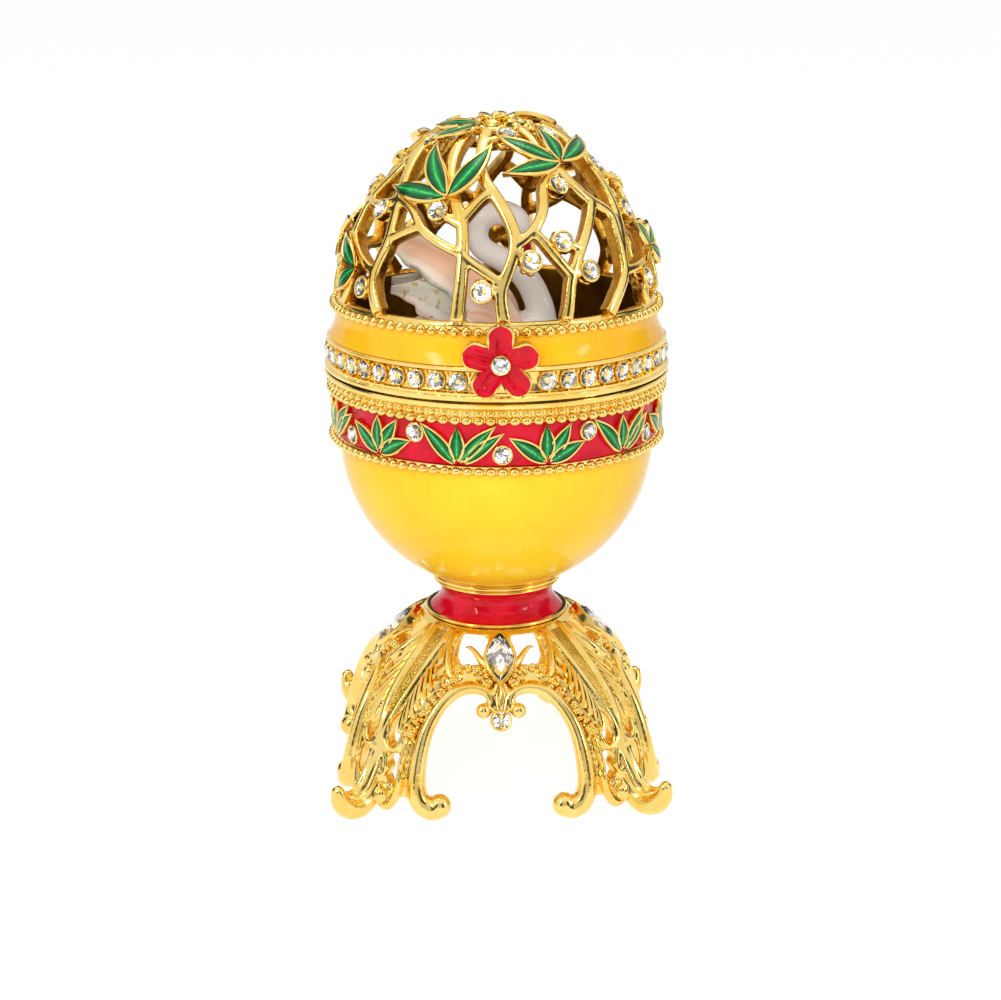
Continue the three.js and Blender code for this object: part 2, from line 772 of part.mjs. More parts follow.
// Centre line of the C-scroll at one side of an arch, as [share of the half width, share of the height],
// from the curl beside the pendant stone to the curl of the foot.
const scrollLine = [
  [0.075, 0.668], [0.115, 0.712], [0.193, 0.733], [0.304, 0.7], [0.407, 0.617],
  [0.485, 0.5], [0.533, 0.37], [0.566, 0.23], [0.578, 0.12], [0.535, 0.045], [0.462, 0.03],
  [0.4, 0.075], [0.395, 0.15],
];
const scrollRadii = [0.87, 0.91, 0.91, 0.96, 1.04, 1.13, 1.26, 1.43, 1.65, 1.65, 1.57, 1.39, 1.13];
const scrollSteps = 10;

function scroll(side) {
  const at = ([across, up]) => onStandSide(side * across * standHalf, up * standHeight, 0.3);
  const path = curve(scrollLine.map(at), scrollSteps);
  return sweep(path, outwards, (t) => circle(between(scrollRadii, t) * scrollR, 4, 0.95));
}

function archOutline() {
  const at = ([across, up]) => [across * standHalf, up * standHeight - 0.2];
  const right = [[0, 0.69], [0.09, 0.715], ...scrollLine.slice(2, 9), [0.578, -0.17]].map(at);
  const left = right.slice(1).reverse().map(([x, z]) => [-x, z]);
  return [...right, ...left];
}

// Window beside the collar, above the scroll, at one side of the marquise stone.
function crestWindow(side) {
  const outline = [[0.105, 0.955], [0.3, 0.94], [0.3, 0.88], [0.125, 0.84]];
  return outline.map(([across, up]) => [side * across * standHalf, up * standHeight]);
}

const legWindows = [
  { azimuth: 39.5, low: 0.39, high: 0.58, width: 1.9 },
  { azimuth: 37, low: 0.18, high: 0.35, width: 2.1 },
];

function legWindow({ azimuth, low, high, width }, side) {
  const middle = (low + high) / 2;
  const reach = (high - low) / 2;
  const kite = [[0, -1], [0.5, 0.1], [0, 1], [-0.5, 0.1]];
  const outline = kite.map(([x, y]) => [x * width, (middle + y * reach) * standHeight]);
  return facing(prism(outline, standHalf), azimuth * side, standHalf * 0.75, 0);
}

// The rib down the middle of a leg, which runs out into the hooked main foot.
function spine() {
  const skin = [0.96, 0.8, 0.62, 0.42, 0.2].map((up) => onStand(45, up * standHeight, 0.2));
  const foot = [
    polar(45, footContactReach - 1.6, 0.03 * standHeight),
    polar(45, footTipReach - 2.6, 0.04 * standHeight),
    polar(45, footTipReach - 1, 0.12 * standHeight),
    polar(45, footTipReach - 0.8, 0.2 * standHeight),
  ];
  const radii = [1.2, 1.4, 1.6, 1.7, 1.9, 2.4, 2.4, 1.9, 1];
  const across = polar(45 + 90, 1, 0);
  return sweep([...skin, ...foot], () => across, (t, i) => circle(radii[i], 4));
}

function bezels() {
  const slope = Math.PI / 4;
  const centreZ = 0.865 * standHeight;
  const centreR = standHalfAt(centreZ) + 0.2;
  const lens = (length, width) => {
    const half = [[0, -0.5], [0.5, -0.1], [0.5, 0.1], [0, 0.5]];
    const right = half.map(([x, y]) => [x * width, y * length]);
    return [...right, ...right.slice(1, -1).reverse().map(([x, y]) => [-x, y])];
  };
  const grow = 2 * bezelWall;
  const block = prism(lens(marquiseLength + 2 * grow, marquiseWidth + grow), 2.2).translate(0, 0, -1.1);
  const seat = prism(lens(marquiseLength + grow * 0.4, marquiseWidth + 0.2), 2).translate(0, 0, 0.3);
  const marquise = facing(cut(block, seat), 0, centreR, centreZ, slope);
  const pendantZ = 0.563 * standHeight;
  const pendantR = standHalfAt(pendantZ) + 0.2;
  const r = roundStoneR + bezelWall;
  const seatR = roundStoneR + 0.1;
  const cup = revolve([[0, -1.2], [r, -1.2], [r, 1], [seatR, 1], [seatR, 0.3], [0, -0.4]], 6);
  const pendant = facing(cup, 0, pendantR, pendantZ, 0.35);
  const stem = sweep(
    [0.8, 0.72, 0.64, 0.6].map((up) => onStandSide(0, up * standHeight, -0.3)),
    outwards,
    () => circle(1.35, 4),
  );
  return { marquise, pendant, stem, centreR, centreZ, slope, pendantR, pendantZ };
}

function marquiseStone() {
  const { centreR, centreZ, slope } = bezels();
  const ring = (k, lift) => {
    const shape = [[0, -0.5], [0.47, -0.1], [0.47, 0.1], [0, 0.5], [-0.47, 0.1], [-0.47, -0.1]];
    return shape.map(([x, y]) => new THREE.Vector3(x * marquiseWidth * k, y * marquiseLength * k, lift));
  };
  const stone = loft([ring(0.5, 0.6), ring(0.98, 0.95), ring(0.98, 1.15), ring(0.55, 1.75)]);
  return facing(stone, 0, centreR, centreZ, slope);
}

function pendantStone() {
  const { pendantR, pendantZ } = bezels();
  return facing(stoneGeometry(roundStoneR).translate(0, 0, 0.85), 0, pendantR, pendantZ, 0.35);
}

function quarters(make) {
  return [0, 90, 180, 270].flatMap((azimuth) => {
    const turn = THREE.MathUtils.degToRad(azimuth);
    return make().map((geometry) => geometry.rotateZ(turn));
  });
}

function stand() {
  const innerR = collarFootR - standWall * 1.8;
  const plate = revolveRing([
    [screwR + 0.3, standHeight - standPlate],
    [innerR + 1.2, standHeight - standPlate],
    [innerR + 1.2, standHeight],
    [screwR + 0.3, standHeight],
  ], 16);
  const cuts = quarters(() => [
    facing(prism(archOutline(), standHalf), 0, standHalf / 2, 0),
    ...[-1, 1].map((side) => facing(prism(crestWindow(side), standHalf), 0, standHalf * 0.37, 0)),
    ...[-1, 1].flatMap((side) => legWindows.map((opening) => legWindow(opening, side))),
  ]);
  const ornaments = quarters(() => {
    const { marquise, pendant, stem } = bezels();
    return [marquise, pendant, stem, scroll(-1), scroll(1), spine()];
  });
  const whole = join(cut(standSkirt(), ...cuts), plate, ...ornaments);
  const table = 3 * footTipReach;
  const below = new THREE.BoxGeometry(table, table, standHeight).translate(0, 0, -standHeight / 2);
  const above = new THREE.CylinderGeometry(collarFootR * 1.5, collarFootR * 1.5, 6, 12)
    .rotateX(Math.PI / 2)
    .translate(0, 0, standHeight + 3);
  return cut(whole, below, above);
}

// Screw from below, with its washer

function standScrew() {
  const seat = standHeight - standPlate - washerHeight;
  return revolve([
    [0, seat - screwHeadHeight + 0.5],
    [0.5, seat - screwHeadHeight + 0.5],
    [0.7, seat - screwHeadHeight],
    [screwHeadR - 0.4, seat - screwHeadHeight],
    [screwHeadR, seat - screwHeadHeight + 0.5],
    [screwHeadR, seat],
    [screwR, seat],
    [screwR, bowlZ + screwDepth - 0.3],
    [0, bowlZ + screwDepth - 0.3],
  ], 12);
}

function screwWasher() {
  const seat = standHeight - standPlate;
  return revolveRing([
    [screwR + 0.3, seat - washerHeight],
    [screwHeadR + 1.2, seat - washerHeight],
    [screwHeadR + 1.2, seat],
    [screwR + 0.3, seat],
  ], 12);
}

// Swan, swimming towards +X

function swanBody() {
  const length = swanBodyLength;
  const stations = [
    { x: -0.54, z: 0.42, w: 0.1, h: 0.1 },
    { x: -0.42, z: 0.3, w: 0.5, h: 0.45 },
    { x: -0.2, z: 0.12, w: 0.88, h: 0.8 },
    { x: 0.08, z: 0.04, w: 1, h: 1 },
    { x: 0.28, z: 0.1, w: 0.86, h: 0.9 },
    { x: 0.42, z: 0.22, w: 0.45, h: 0.55 },
    { x: 0.48, z: 0.3, w: 0.12, h: 0.18 },
  ];
  const rings = stations.map(({ x, z, w, h }) => circle(0.5, 10).map(([y, up]) => new THREE.Vector3(
    (x - 0.055) * length,
    y * w * swanBodyWidth,
    swanWaterline + swanBodyHeight / 2 + (z + up * h) * swanBodyHeight,
  )));
  const neckPath = [
    [0.222, 0.296], [0.296, 0.481], [0.259, 0.667], [0.174, 0.837], [0.037, 0.952], [-0.1, 1.015],
    [-0.137, 1.119], [-0.074, 1.226], [0.037, 1.256], [0.137, 1.17], [0.185, 1.048], [0.207, 0.959],
  ].map(([x, z]) => new THREE.Vector3(x * length, 0, swanWaterline + z * length));
  const neckRadii = [1.5, 1.15, 1, 0.95, 0.88, 0.82, 0.82, 0.85, 0.9, 0.95, 0.62, 0.22];
  const across = new THREE.Vector3(0, 1, 0);
  const neck = sweep(neckPath, () => across, (t, i) => circle(neckRadii[i] * swanNeckR, 7));
  return join(loft(rings), neck);
}

function swanWing(side) {
  const outline = [
    [0.13, 0.352], [0, 0.593], [-0.222, 0.833], [-0.537, 1.059], [-0.63, 1.022], [-0.481, 0.833],
    [-0.407, 0.689], [-0.648, 0.741], [-0.622, 0.63], [-0.37, 0.463], [-0.185, 0.315], [0.037, 0.278],
  ].map(([x, z]) => [x * swanBodyLength, swanWaterline + z * swanBodyLength]);
  const plate = prism(outline, wingThickness).rotateX(Math.PI / 2);
  const at = plate.attributes.position;
  for (let i = 0; i < at.count; i++) {
    const rise = at.getZ(i) - swanWaterline - swanBodyHeight * 0.57;
    const spread = swanBodyWidth * 0.5 + 2 * seatGap + rise * 0.12;
    at.setY(i, side * (spread + at.getY(i) + wingThickness / 2));
  }
  return plate;
}

function swanPost() {
  const foot = bowlZ + bowlFloor;
  const bottom = swanWaterline + swanBodyHeight * 0.04 - seatGap;
  return revolve([
    [0, foot],
    [postR * 3, foot],
    [postR * 2.8, foot + 1.2],
    [postR, foot + 3],
    [postR * 0.8, bottom - 2],
    [postR * 1.5, bottom],
    [0, bottom],
  ], 12);
}

// Finishes

const finishes = {
  gilt: { color: '#e2b13c', roughness: 0.22, metalness: 1 },
  yellowEnamel: { color: '#fdc92b', roughness: 0.15, metalness: 0 },
  redEnamel: { color: '#c8102e', roughness: 0.12, metalness: 0 },
  greenEnamel: { color: '#0b7a35', roughness: 0.15, metalness: 0 },
  crystal: { color: '#f2f6fa', roughness: 0.02, metalness: 0 },
  cream: { color: '#ede4dc', roughness: 0.2, metalness: 0 },
  peach: { color: '#f3c9ae', roughness: 0.25, metalness: 0 },
  steel: { color: '#b9bcc0', roughness: 0.35, metalness: 1 },
};

const egg = new THREE.Group();

function add(group, name, geometry, finish) {
  const mesh = new THREE.Mesh(closed(geometry), new THREE.MeshStandardMaterial(finishes[finish]));
  mesh.name = name;
  group.add(mesh);
  return mesh;
}

const base = new THREE.Group();
egg.add(base);
add(base, 'stand', stand(), 'gilt');
add(base, 'stand_screw', standScrew(), 'steel');
add(base, 'screw_washer', screwWasher(), 'steel');
add(base, 'collar', collar(), 'gilt');
add(base, 'collar_enamel', collarEnamel(), 'redEnamel');
add(base, 'bowl', bowl(), 'gilt');
add(base, 'bowl_enamel', bowlEnamel(), 'yellowEnamel');
add(base, 'frieze_enamel', friezeEnamel(), 'redEnamel');
for (let i = 0; i < friezeCount; i++) {
  add(base, `frieze_spray_${i + 1}`, friezeSpray(i), 'greenEnamel');
}
for (let i = 0; i < 4; i++) {
  add(base, `marquise_stone_${i + 1}`, marquiseStone().rotateZ((i * Math.PI) / 2), 'crystal');
  add(base, `pendant_stone_${i + 1}`, pendantStone().rotateZ((i * Math.PI) / 2), 'crystal');
}
add(base, 'hinge_leaf_base', baseHingeLeaf(), 'gilt');
add(base, 'hinge_pin', hingePin(), 'gilt');
const magnetPlace = (lidInnerR + rimR) / 2;
add(base, 'base_magnet', magnet().translate(0, -magnetPlace, rimTopZ - 0.15 - magnetHeight / 2), 'steel');
add(base, 'swan_post', swanPost(), 'gilt');
add(base, 'swan_body', swanBody(), 'cream');
add(base, 'swan_wing_right', swanWing(-1), 'peach');
add(base, 'swan_wing_left', swanWing(1), 'peach');

const lid = new THREE.Group();
egg.add(lid);
add(lid, 'lid_band', lidBand(), 'gilt');
add(lid, 'lid_enamel', lidEnamel(), 'yellowEnamel');
add(lid, 'lid_stone_row', lidStoneRow(), 'crystal');
add(lid, 'lid_lattice', lidLattice(), 'gilt');
[0, 180].forEach((half, k) => domeSprays.forEach((spray, i) => {
  add(lid, `leaf_spray_${k * domeSprays.length + i + 1}`, domeSpray(spray, half), 'greenEnamel');
}));
add(lid, 'clasp_flower', claspFlower(), 'gilt');
add(lid, 'flower_enamel', flowerEnamel(), 'redEnamel');
add(lid, 'flower_stone', flowerStone(), 'crystal');
add(lid, 'hinge_leaf_lid', lidHingeLeaf(), 'gilt');
add(lid, 'lid_magnet', magnet().translate(0, -magnetPlace, lidZ + 0.15 + magnetHeight / 2), 'steel');

export default egg;
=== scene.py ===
import math
import random

import bmesh
import bpy
from mathutils import Matrix, Vector
from mathutils.geometry import delaunay_2d_cdt


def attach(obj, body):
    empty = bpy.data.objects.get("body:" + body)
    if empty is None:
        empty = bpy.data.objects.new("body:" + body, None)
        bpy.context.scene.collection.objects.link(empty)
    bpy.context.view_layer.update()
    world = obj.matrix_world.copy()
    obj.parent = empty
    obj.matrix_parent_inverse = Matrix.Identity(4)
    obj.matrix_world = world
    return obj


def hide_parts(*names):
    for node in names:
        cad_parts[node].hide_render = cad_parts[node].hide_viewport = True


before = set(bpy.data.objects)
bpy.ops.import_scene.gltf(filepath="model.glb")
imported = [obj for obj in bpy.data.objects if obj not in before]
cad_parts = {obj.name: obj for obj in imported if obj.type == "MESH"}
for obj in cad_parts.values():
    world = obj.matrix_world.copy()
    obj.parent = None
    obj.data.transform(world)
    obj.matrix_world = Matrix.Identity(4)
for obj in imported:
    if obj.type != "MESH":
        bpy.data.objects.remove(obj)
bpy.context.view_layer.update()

# Egg trinket box: all sizes here are millimetres, +Z up, clasp towards -Y.
mm = 0.001
random.seed(7)


# Small helpers for shapes. A shape is (corners, faces).
def polar(azimuth, radius, z):
    turn = math.radians(azimuth)
    return Vector((radius * math.sin(turn), -radius * math.cos(turn), z))


def blend(a, b, share):
    return a + (b - a) * share


def gather(shapes):
    corners, faces = [], []
    for shapeCorners, shapeFaces in shapes:
        start = len(corners)
        corners += shapeCorners
        faces += [[i + start for i in face] for face in shapeFaces]
    return corners, faces


def mirrored(shape):
    # The other hand: x changes sign, so each face is turned over.
    return [Vector((-c.x, c.y, c.z)) for c in shape[0]], [face[::-1] for face in shape[1]]


def turnedBy(shape, degrees):
    turn = math.radians(degrees)
    cosine, sine = math.cos(turn), math.sin(turn)
    corners = [Vector((c.x * cosine - c.y * sine, c.x * sine + c.y * cosine, c.z)) for c in shape[0]]
    return corners, shape[1]


def alongCurve(points, perSpan):
    # Catmull-Rom through points of any number of values, so that a radius can ride along.
    found = []
    last = len(points) - 1
    for i in range(last):
        a, b, c, d = points[max(i - 1, 0)], points[i], points[i + 1], points[min(i + 2, last)]
        for k in range(perSpan):
            t = k / perSpan
            found.append(tuple(0.5 * (2 * q + (r - p) * t + (2 * p - 5 * q + 4 * r - s) * t * t
                                      + (3 * q - p - 3 * r + s) * t ** 3) for p, q, r, s in zip(a, b, c, d)))
    return found + [tuple(points[-1])]


def loft(rings):
    # A skin through rings of equal count, closed at both ends.
    count = len(rings[0])
    corners = [corner for ring in rings for corner in ring]
    faces = []
    for i in range(len(rings) - 1):
        for j in range(count):
            a, b = i * count + j, i * count + (j + 1) % count
            faces.append([a, b, b + count, a + count])
    faces.append(list(range(count))[::-1])
    faces.append([len(corners) - count + j for j in range(count)])
    return corners, faces


def tube(path, radii, outAt, sides, squash):
    # An oval rod with round ends along a path. outAt gives the outward way, along which it is squashed.
    rings = []
    last = len(path) - 1

    def ring(centre, along, radius, out):
        side = out.cross(along).normalized()
        up = along.cross(side).normalized()
        return [centre + side * (radius * math.cos(a)) + up * (radius * squash * math.sin(a))
                for a in (2 * math.pi * k / sides for k in range(sides))]

    for i, centre in enumerate(path):
        along = (path[min(i + 1, last)] - path[max(i - 1, 0)]).normalized()
        out, radius = outAt(centre), radii[i]
        if i == 0:
            rings += [ring(centre - along * (radius * math.sin(a)), along, radius * math.cos(a), out)
                      for a in (1.4, 1.05, 0.6)]
        rings.append(ring(centre, along, radius, out))
        if i == last:
            rings += [ring(centre + along * (radius * math.sin(a)), along, radius * math.cos(a), out)
                      for a in (0.6, 1.05, 1.4)]
    return loft(rings)


def ball(centre, radius, out, squash, around, rows, tall=1.0):
    # An ellipsoid: squashed along out, and stretched upright (tall) on the surface.
    out = out.normalized()
    level = Vector((0, 0, 1)).cross(out)
    side = level.normalized() if level.length > 0.01 else Vector((1, 0, 0))
    up = out.cross(side)
    corners = [centre + out * (radius * squash)]
    for i in range(1, rows):
        lean = math.pi * i / rows
        for k in range(around):
            a = 2 * math.pi * k / around
            corners.append(centre + out * (radius * squash * math.cos(lean))
                           + (side * math.cos(a) + up * (tall * math.sin(a))) * (radius * math.sin(lean)))
    corners.append(centre - out * (radius * squash))
    faces = [[0, 1 + k, 1 + (k + 1) % around] for k in range(around)]
    for i in range(rows - 2):
        for k in range(around):
            a, b = 1 + i * around + k, 1 + i * around + (k + 1) % around
            faces.append([a, a + around, b + around, b])
    bottom = len(corners) - 1
    faces += [[bottom - around + (k + 1) % around, bottom - around + k, bottom] for k in range(around)]
    return corners, faces


def revolved(profile, around=160, centre=Vector((0, 0, 0)), out=None):
    # A closed profile of (radius, height) turned about +Z, or about another axis at a centre.
    axis = (out or Vector((0, 0, 1))).normalized()
    side = axis.orthogonal().normalized() if out else Vector((0, -1, 0))
    level = axis.cross(side)
    count = len(profile)
    corners = [centre + (side * math.cos(a) + level * math.sin(a)) * r + axis * h
               for a in (2 * math.pi * k / around for k in range(around)) for r, h in profile]
    faces = []
    for k in range(around):
        for j in range(count):
            a, b = k * count + j, k * count + (j + 1) % count
            c, d = ((k + 1) % around) * count + (j + 1) % count, ((k + 1) % around) * count + j
            faces.append([a, d, c, b])
    return corners, faces


def meshOf(name, shape, scale=mm):
    mesh = bpy.data.meshes.new(name)
    mesh.from_pydata([c * scale for c in shape[0]], [], shape[1])
    mesh.update()
    return mesh


def castTogether(name, shape, grain, rounds):
    # Melts overlapping forms into one casting with soft joints; grain is in mm.
    mesh = meshOf(name, shape, 1.0)
    holder = bpy.data.objects.new(name, mesh)
    bpy.context.scene.collection.objects.link(holder)
    melt = holder.modifiers.new("melt", "REMESH")
    melt.mode, melt.voxel_size, melt.adaptivity = "VOXEL", grain, 0.0
    ease = holder.modifiers.new("ease", "SMOOTH")
    ease.factor, ease.iterations = 0.5, rounds
    seen = bpy.context.evaluated_depsgraph_get()
    finished = bpy.data.meshes.new_from_object(holder.evaluated_get(seen))
    bpy.data.objects.remove(holder)
    finished.transform(Matrix.Scale(mm, 4))
    return finished


def addPiece(name, shape, material, body, replaces=(), sharp=38, bevel=0.0, marks=None):
    isMesh = isinstance(shape, bpy.types.Mesh)
    mesh = shape if isMesh else meshOf(name, shape)
    piece = bpy.data.objects.new(name, mesh)
    bpy.context.scene.collection.objects.link(piece)
    for finish in (material if isinstance(material, list) else [material]):
        mesh.materials.append(finish)
    if not isMesh:
        sides = bmesh.new()
        sides.from_mesh(mesh)
        bmesh.ops.recalc_face_normals(sides, faces=sides.faces)
        sides.to_mesh(mesh)
        sides.free()
    for label, values in (marks or {}).items():
        mesh.attributes.new(label, "FLOAT", "POINT").data.foreach_set("value", values)
    if bevel:
        edge = piece.modifiers.new("softEdges", "BEVEL")
        edge.width, edge.segments, edge.limit_method = bevel * mm, 2, "ANGLE"
        edge.angle_limit = math.radians(32)
        seen = bpy.context.evaluated_depsgraph_get()
        mesh = bpy.data.meshes.new_from_object(piece.evaluated_get(seen))
        piece.modifiers.clear()
        piece.data = mesh
    mesh.shade_smooth()
    mesh.set_sharp_from_angle(angle=math.radians(sharp))
    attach(piece, body)
    if replaces:
        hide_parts(*replaces)
    return piece


# Finishes. Patterns are laid out on the piece itself, in mm.
def linear(hexText):
    # sRGB hex to the linear values that nodes take
    parts = [int(hexText[i:i + 2], 16) / 255 for i in (1, 3, 5)]
    return tuple(v / 12.92 if v <= 0.04045 else ((v + 0.055) / 1.055) ** 2.4 for v in parts) + (1.0,)


def join(tree, source, socket):
    # a node stands for its first output
    tree.links.new(source if isinstance(source, bpy.types.NodeSocket) else source.outputs[0], socket)


def addNode(tree, kind, settings=None, links=None):
    # The "stops" of a colour ramp are pairs of place and colour.
    node = tree.nodes.new(kind)
    for name, value in (settings or {}).items():
        if name == "stops":
            marks = node.color_ramp.elements
            while len(marks) < len(value):
                marks.new(0.5)
            for mark, (place, colour) in zip(marks, value):
                mark.position = place
                mark.color = linear(colour) if isinstance(colour, str) else (colour, colour, colour, 1)
        elif isinstance(name, str) and hasattr(node, name):
            setattr(node, name, value)
        else:
            node.inputs[name].default_value = value
    for name, source in (links or {}).items():
        join(tree, source, node.inputs[name])
    return node


def startFinish(name, shaderSettings):
    finish = bpy.data.materials.new(name)
    finish.use_nodes = True
    tree = finish.node_tree
    tree.nodes.clear()
    shader = addNode(tree, "ShaderNodeBsdfPrincipled", shaderSettings)
    addNode(tree, "ShaderNodeOutputMaterial", links={"Surface": shader})
    return finish, tree, shader


# Gold plating over a zinc casting: bright yellow metal, polished but with the faint
# waviness of a casting that was tumbled, not machined.
goldLook = {
    # inside and insideDeep are darkened golds: painted shade for the hollows of the bowl and the lid, and for
    # the sunk stippled ground
    "bright": "#fbdc86", "deep": "#f3c860", "inside": "#b8942c", "insideDeep": "#8f6f18",
    "castBright": "#f4c65a", "castDeep": "#cc9a32",
    "tintSize": 5.0,      # mm, patches of thicker and thinner plating
    "waveSize": 1.6,      # mm, the swell left by tumbling
    "waveDepth": 0.035,
    "grainSize": 0.42,    # mm, the stippled ground, drawn a little coarse so that it shows
    "grainDepth": 0.16,
}


def goldFinish(name, bright, deep, roughness, bumpSize, bumpDepth, stippled=False):
    finish, tree, shader = startFinish(name, {"Metallic": 1.0})
    place = addNode(tree, "ShaderNodeTexCoord").outputs["Object"]
    tint = addNode(tree, "ShaderNodeTexNoise", {"Scale": 1 / (goldLook["tintSize"] * mm), "Detail": 3.0},
                   {"Vector": place})
    colour = addNode(tree, "ShaderNodeValToRGB", {"stops": [(0.3, deep), (0.62, bright)]}, {"Fac": tint})
    gloss = addNode(tree, "ShaderNodeMapRange", {"To Min": roughness[0], "To Max": roughness[1]},
                    {"Value": tint})
    if stippled:
        height = addNode(tree, "ShaderNodeTexVoronoi", {"Scale": 1 / (bumpSize * mm)}, {"Vector": place})
    else:
        height = addNode(tree, "ShaderNodeTexNoise", {"Scale": 1 / (bumpSize * mm), "Detail": 2.0},
                         {"Vector": place})
    bump = addNode(tree, "ShaderNodeBump", {"Strength": 1.0, "Distance": bumpDepth * mm}, {"Height": height})
    join(tree, colour, shader.inputs["Base Color"])
    join(tree, gloss, shader.inputs["Roughness"])
    join(tree, bump, shader.inputs["Normal"])
    return finish


gold = goldFinish("Polished gold plating", goldLook["bright"], goldLook["deep"], (0.1, 0.2),
                  goldLook["waveSize"], goldLook["waveDepth"])
# The stippled ground is matte from its stipple, and its darker gold is painted shade in the sunk band.
goldGroundPaintedShade = goldFinish("Stippled gold ground, darkened as painted shade", goldLook["deep"], goldLook["inside"], (0.25, 0.4),
                        goldLook["grainSize"], goldLook["grainDepth"], stippled=True)
goldRough = goldFinish("Gold plating left as cast", goldLook["castBright"], goldLook["castDeep"],
                       (0.22, 0.38), 0.8, 0.16)
# The inside gold is satin, and its dark olive colour is painted shade for the hollows inside the bowl and the
# lid.
goldInsidePaintedShade = goldFinish("Satin gold plating inside, darkened as painted shade", goldLook["inside"], goldLook["insideDeep"],
                        (0.3, 0.42), 2.2, 0.05)

# Transparent baked enamel over engraved metal: the lacquer is a clear gloss coat, and
# the fine upright cuts of the metal show through as paler streaks.
yellowLook = {"streakWidth": 0.45, "streakLength": 9.0, "cloudSize": 14.0, "wallR": 27.0, "cutDepth": 0.012}


def yellowFinish(name, base, streak):
    finish, tree, shader = startFinish(name, {"Roughness": 0.14, "IOR": 1.5, "Specular IOR Level": 0.25})
    place = addNode(tree, "ShaderNodeTexCoord").outputs["Object"]
    split = addNode(tree, "ShaderNodeSeparateXYZ", links={"Vector": place}).outputs
    around = addNode(tree, "ShaderNodeMath", {"operation": "ARCTAN2"}, {0: split["X"], 1: split["Y"]})
    arc = addNode(tree, "ShaderNodeMath", {
        "operation": "MULTIPLY", 1: yellowLook["wallR"] / yellowLook["streakWidth"]}, {0: around})
    rise = addNode(tree, "ShaderNodeMath", {
        "operation": "MULTIPLY", 1: 1 / (yellowLook["streakLength"] * mm)}, {0: split["Z"]})
    unrolled = addNode(tree, "ShaderNodeCombineXYZ", links={"X": arc, "Y": rise})
    streaks = addNode(tree, "ShaderNodeTexNoise", {"Scale": 1.0, "Detail": 4.0, "Roughness": 0.6},
                      {"Vector": unrolled})
    clouds = addNode(tree, "ShaderNodeTexNoise", {
        "Scale": 1 / (yellowLook["cloudSize"] * mm), "Detail": 2.0}, {"Vector": place})
    faint = addNode(tree, "ShaderNodeMath", {"operation": "MULTIPLY", 1: 0.6}, {0: clouds})
    both = addNode(tree, "ShaderNodeMath", {"operation": "MULTIPLY_ADD", 1: 0.4}, {0: streaks, 2: faint})
    colour = addNode(tree, "ShaderNodeValToRGB", {"stops": [(0.3, base), (0.72, streak)]}, {"Fac": both})
    bump = addNode(tree, "ShaderNodeBump", {"Strength": 0.15, "Distance": yellowLook["cutDepth"] * mm},
                   {"Height": streaks})
    join(tree, colour, shader.inputs["Base Color"])
    join(tree, bump, shader.inputs["Normal"])
    return finish


yellowEnamel = yellowFinish("Yellow enamel over engraving", "#fcc018", "#ffd634")
# The lid's enamel is the bowl's; its deeper yellow is painted shade, to offset the extra light that the
# upward-facing cove catches.
lidEnamelPaintedShade = yellowFinish("Yellow enamel of the lid, deepened as painted shade", "#f4ae12", "#fcc526")


def enamelFinish(name, deep, bright, patch, roughness=0.07, swellDepth=0.12, gloss=0.3):
    # Opaque baked enamel, flooded and fired: gloss with slight pooling and a slow swell, 2.4 mm wide.
    finish, tree, shader = startFinish(name, {
        "Roughness": roughness, "IOR": 1.5, "Specular IOR Level": gloss})
    place = addNode(tree, "ShaderNodeTexCoord").outputs["Object"]
    pool = addNode(tree, "ShaderNodeTexNoise", {"Scale": 1 / (patch * mm), "Detail": 3.0}, {"Vector": place})
    colour = addNode(tree, "ShaderNodeValToRGB", {"stops": [(0.35, deep), (0.65, bright)]}, {"Fac": pool})
    swell = addNode(tree, "ShaderNodeTexNoise", {"Scale": 1 / (2.4 * mm), "Detail": 1.0}, {"Vector": place})
    bump = addNode(tree, "ShaderNodeBump", {"Strength": 1.0, "Distance": swellDepth * mm}, {"Height": swell})
    join(tree, colour, shader.inputs["Base Color"])
    join(tree, bump, shader.inputs["Normal"])
    return finish


redEnamel = enamelFinish("Red enamel", "#b8061c", "#d60c2c", 4.0, swellDepth=0.22, gloss=0.24)
eyeEnamel = enamelFinish("Black enamel", "#120f0e", "#221d1b", 1.0)
# The swan's cream is set near white, paler than the enamel itself: painted light that makes up for the shade
# inside the dome.
swanEnamelPaintedLight = enamelFinish("Cream enamel, lightened as painted light", "#fbf4ec", "#fffcf7", 9.0, roughness=0.1, gloss=0.5)

# Green enamel over an engraved leaf: the fine side veins show through paler. The pale rib is partly the
# engraved rib showing through and partly a painted highlight, and the green deepens towards the rim.
leafLines = {"veinSize": 0.55, "cutDepth": 0.05}   # mm
leafEnamel, tree, shader = startFinish("Green enamel over an engraved leaf", {
    "Roughness": 0.08, "IOR": 1.5, "Specular IOR Level": 0.35})
rib = addNode(tree, "ShaderNodeAttribute", {"attribute_name": "rib"}).outputs["Fac"]
place = addNode(tree, "ShaderNodeTexCoord").outputs["Object"]
veins = addNode(tree, "ShaderNodeTexNoise", {"Scale": 1 / (leafLines["veinSize"] * mm), "Detail": 3.0},
                {"Vector": place})
drift = addNode(tree, "ShaderNodeMath", {"operation": "MULTIPLY_ADD", 1: 0.45, 2: -0.22}, {0: veins})
veined = addNode(tree, "ShaderNodeMath", {"operation": "ADD"}, {0: rib, 1: drift})
greens = addNode(tree, "ShaderNodeValToRGB", {"stops": [   # from the rib to the edge
    (0.02, "#52cc76"), (0.14, "#08963f"), (0.5, "#035c26"), (0.95, "#02431c")]}, {"Fac": veined})
bump = addNode(tree, "ShaderNodeBump", {"Strength": 0.7, "Distance": leafLines["cutDepth"] * mm},
               {"Height": veins})
join(tree, greens, shader.inputs["Base Color"])
join(tree, bump, shader.inputs["Normal"])


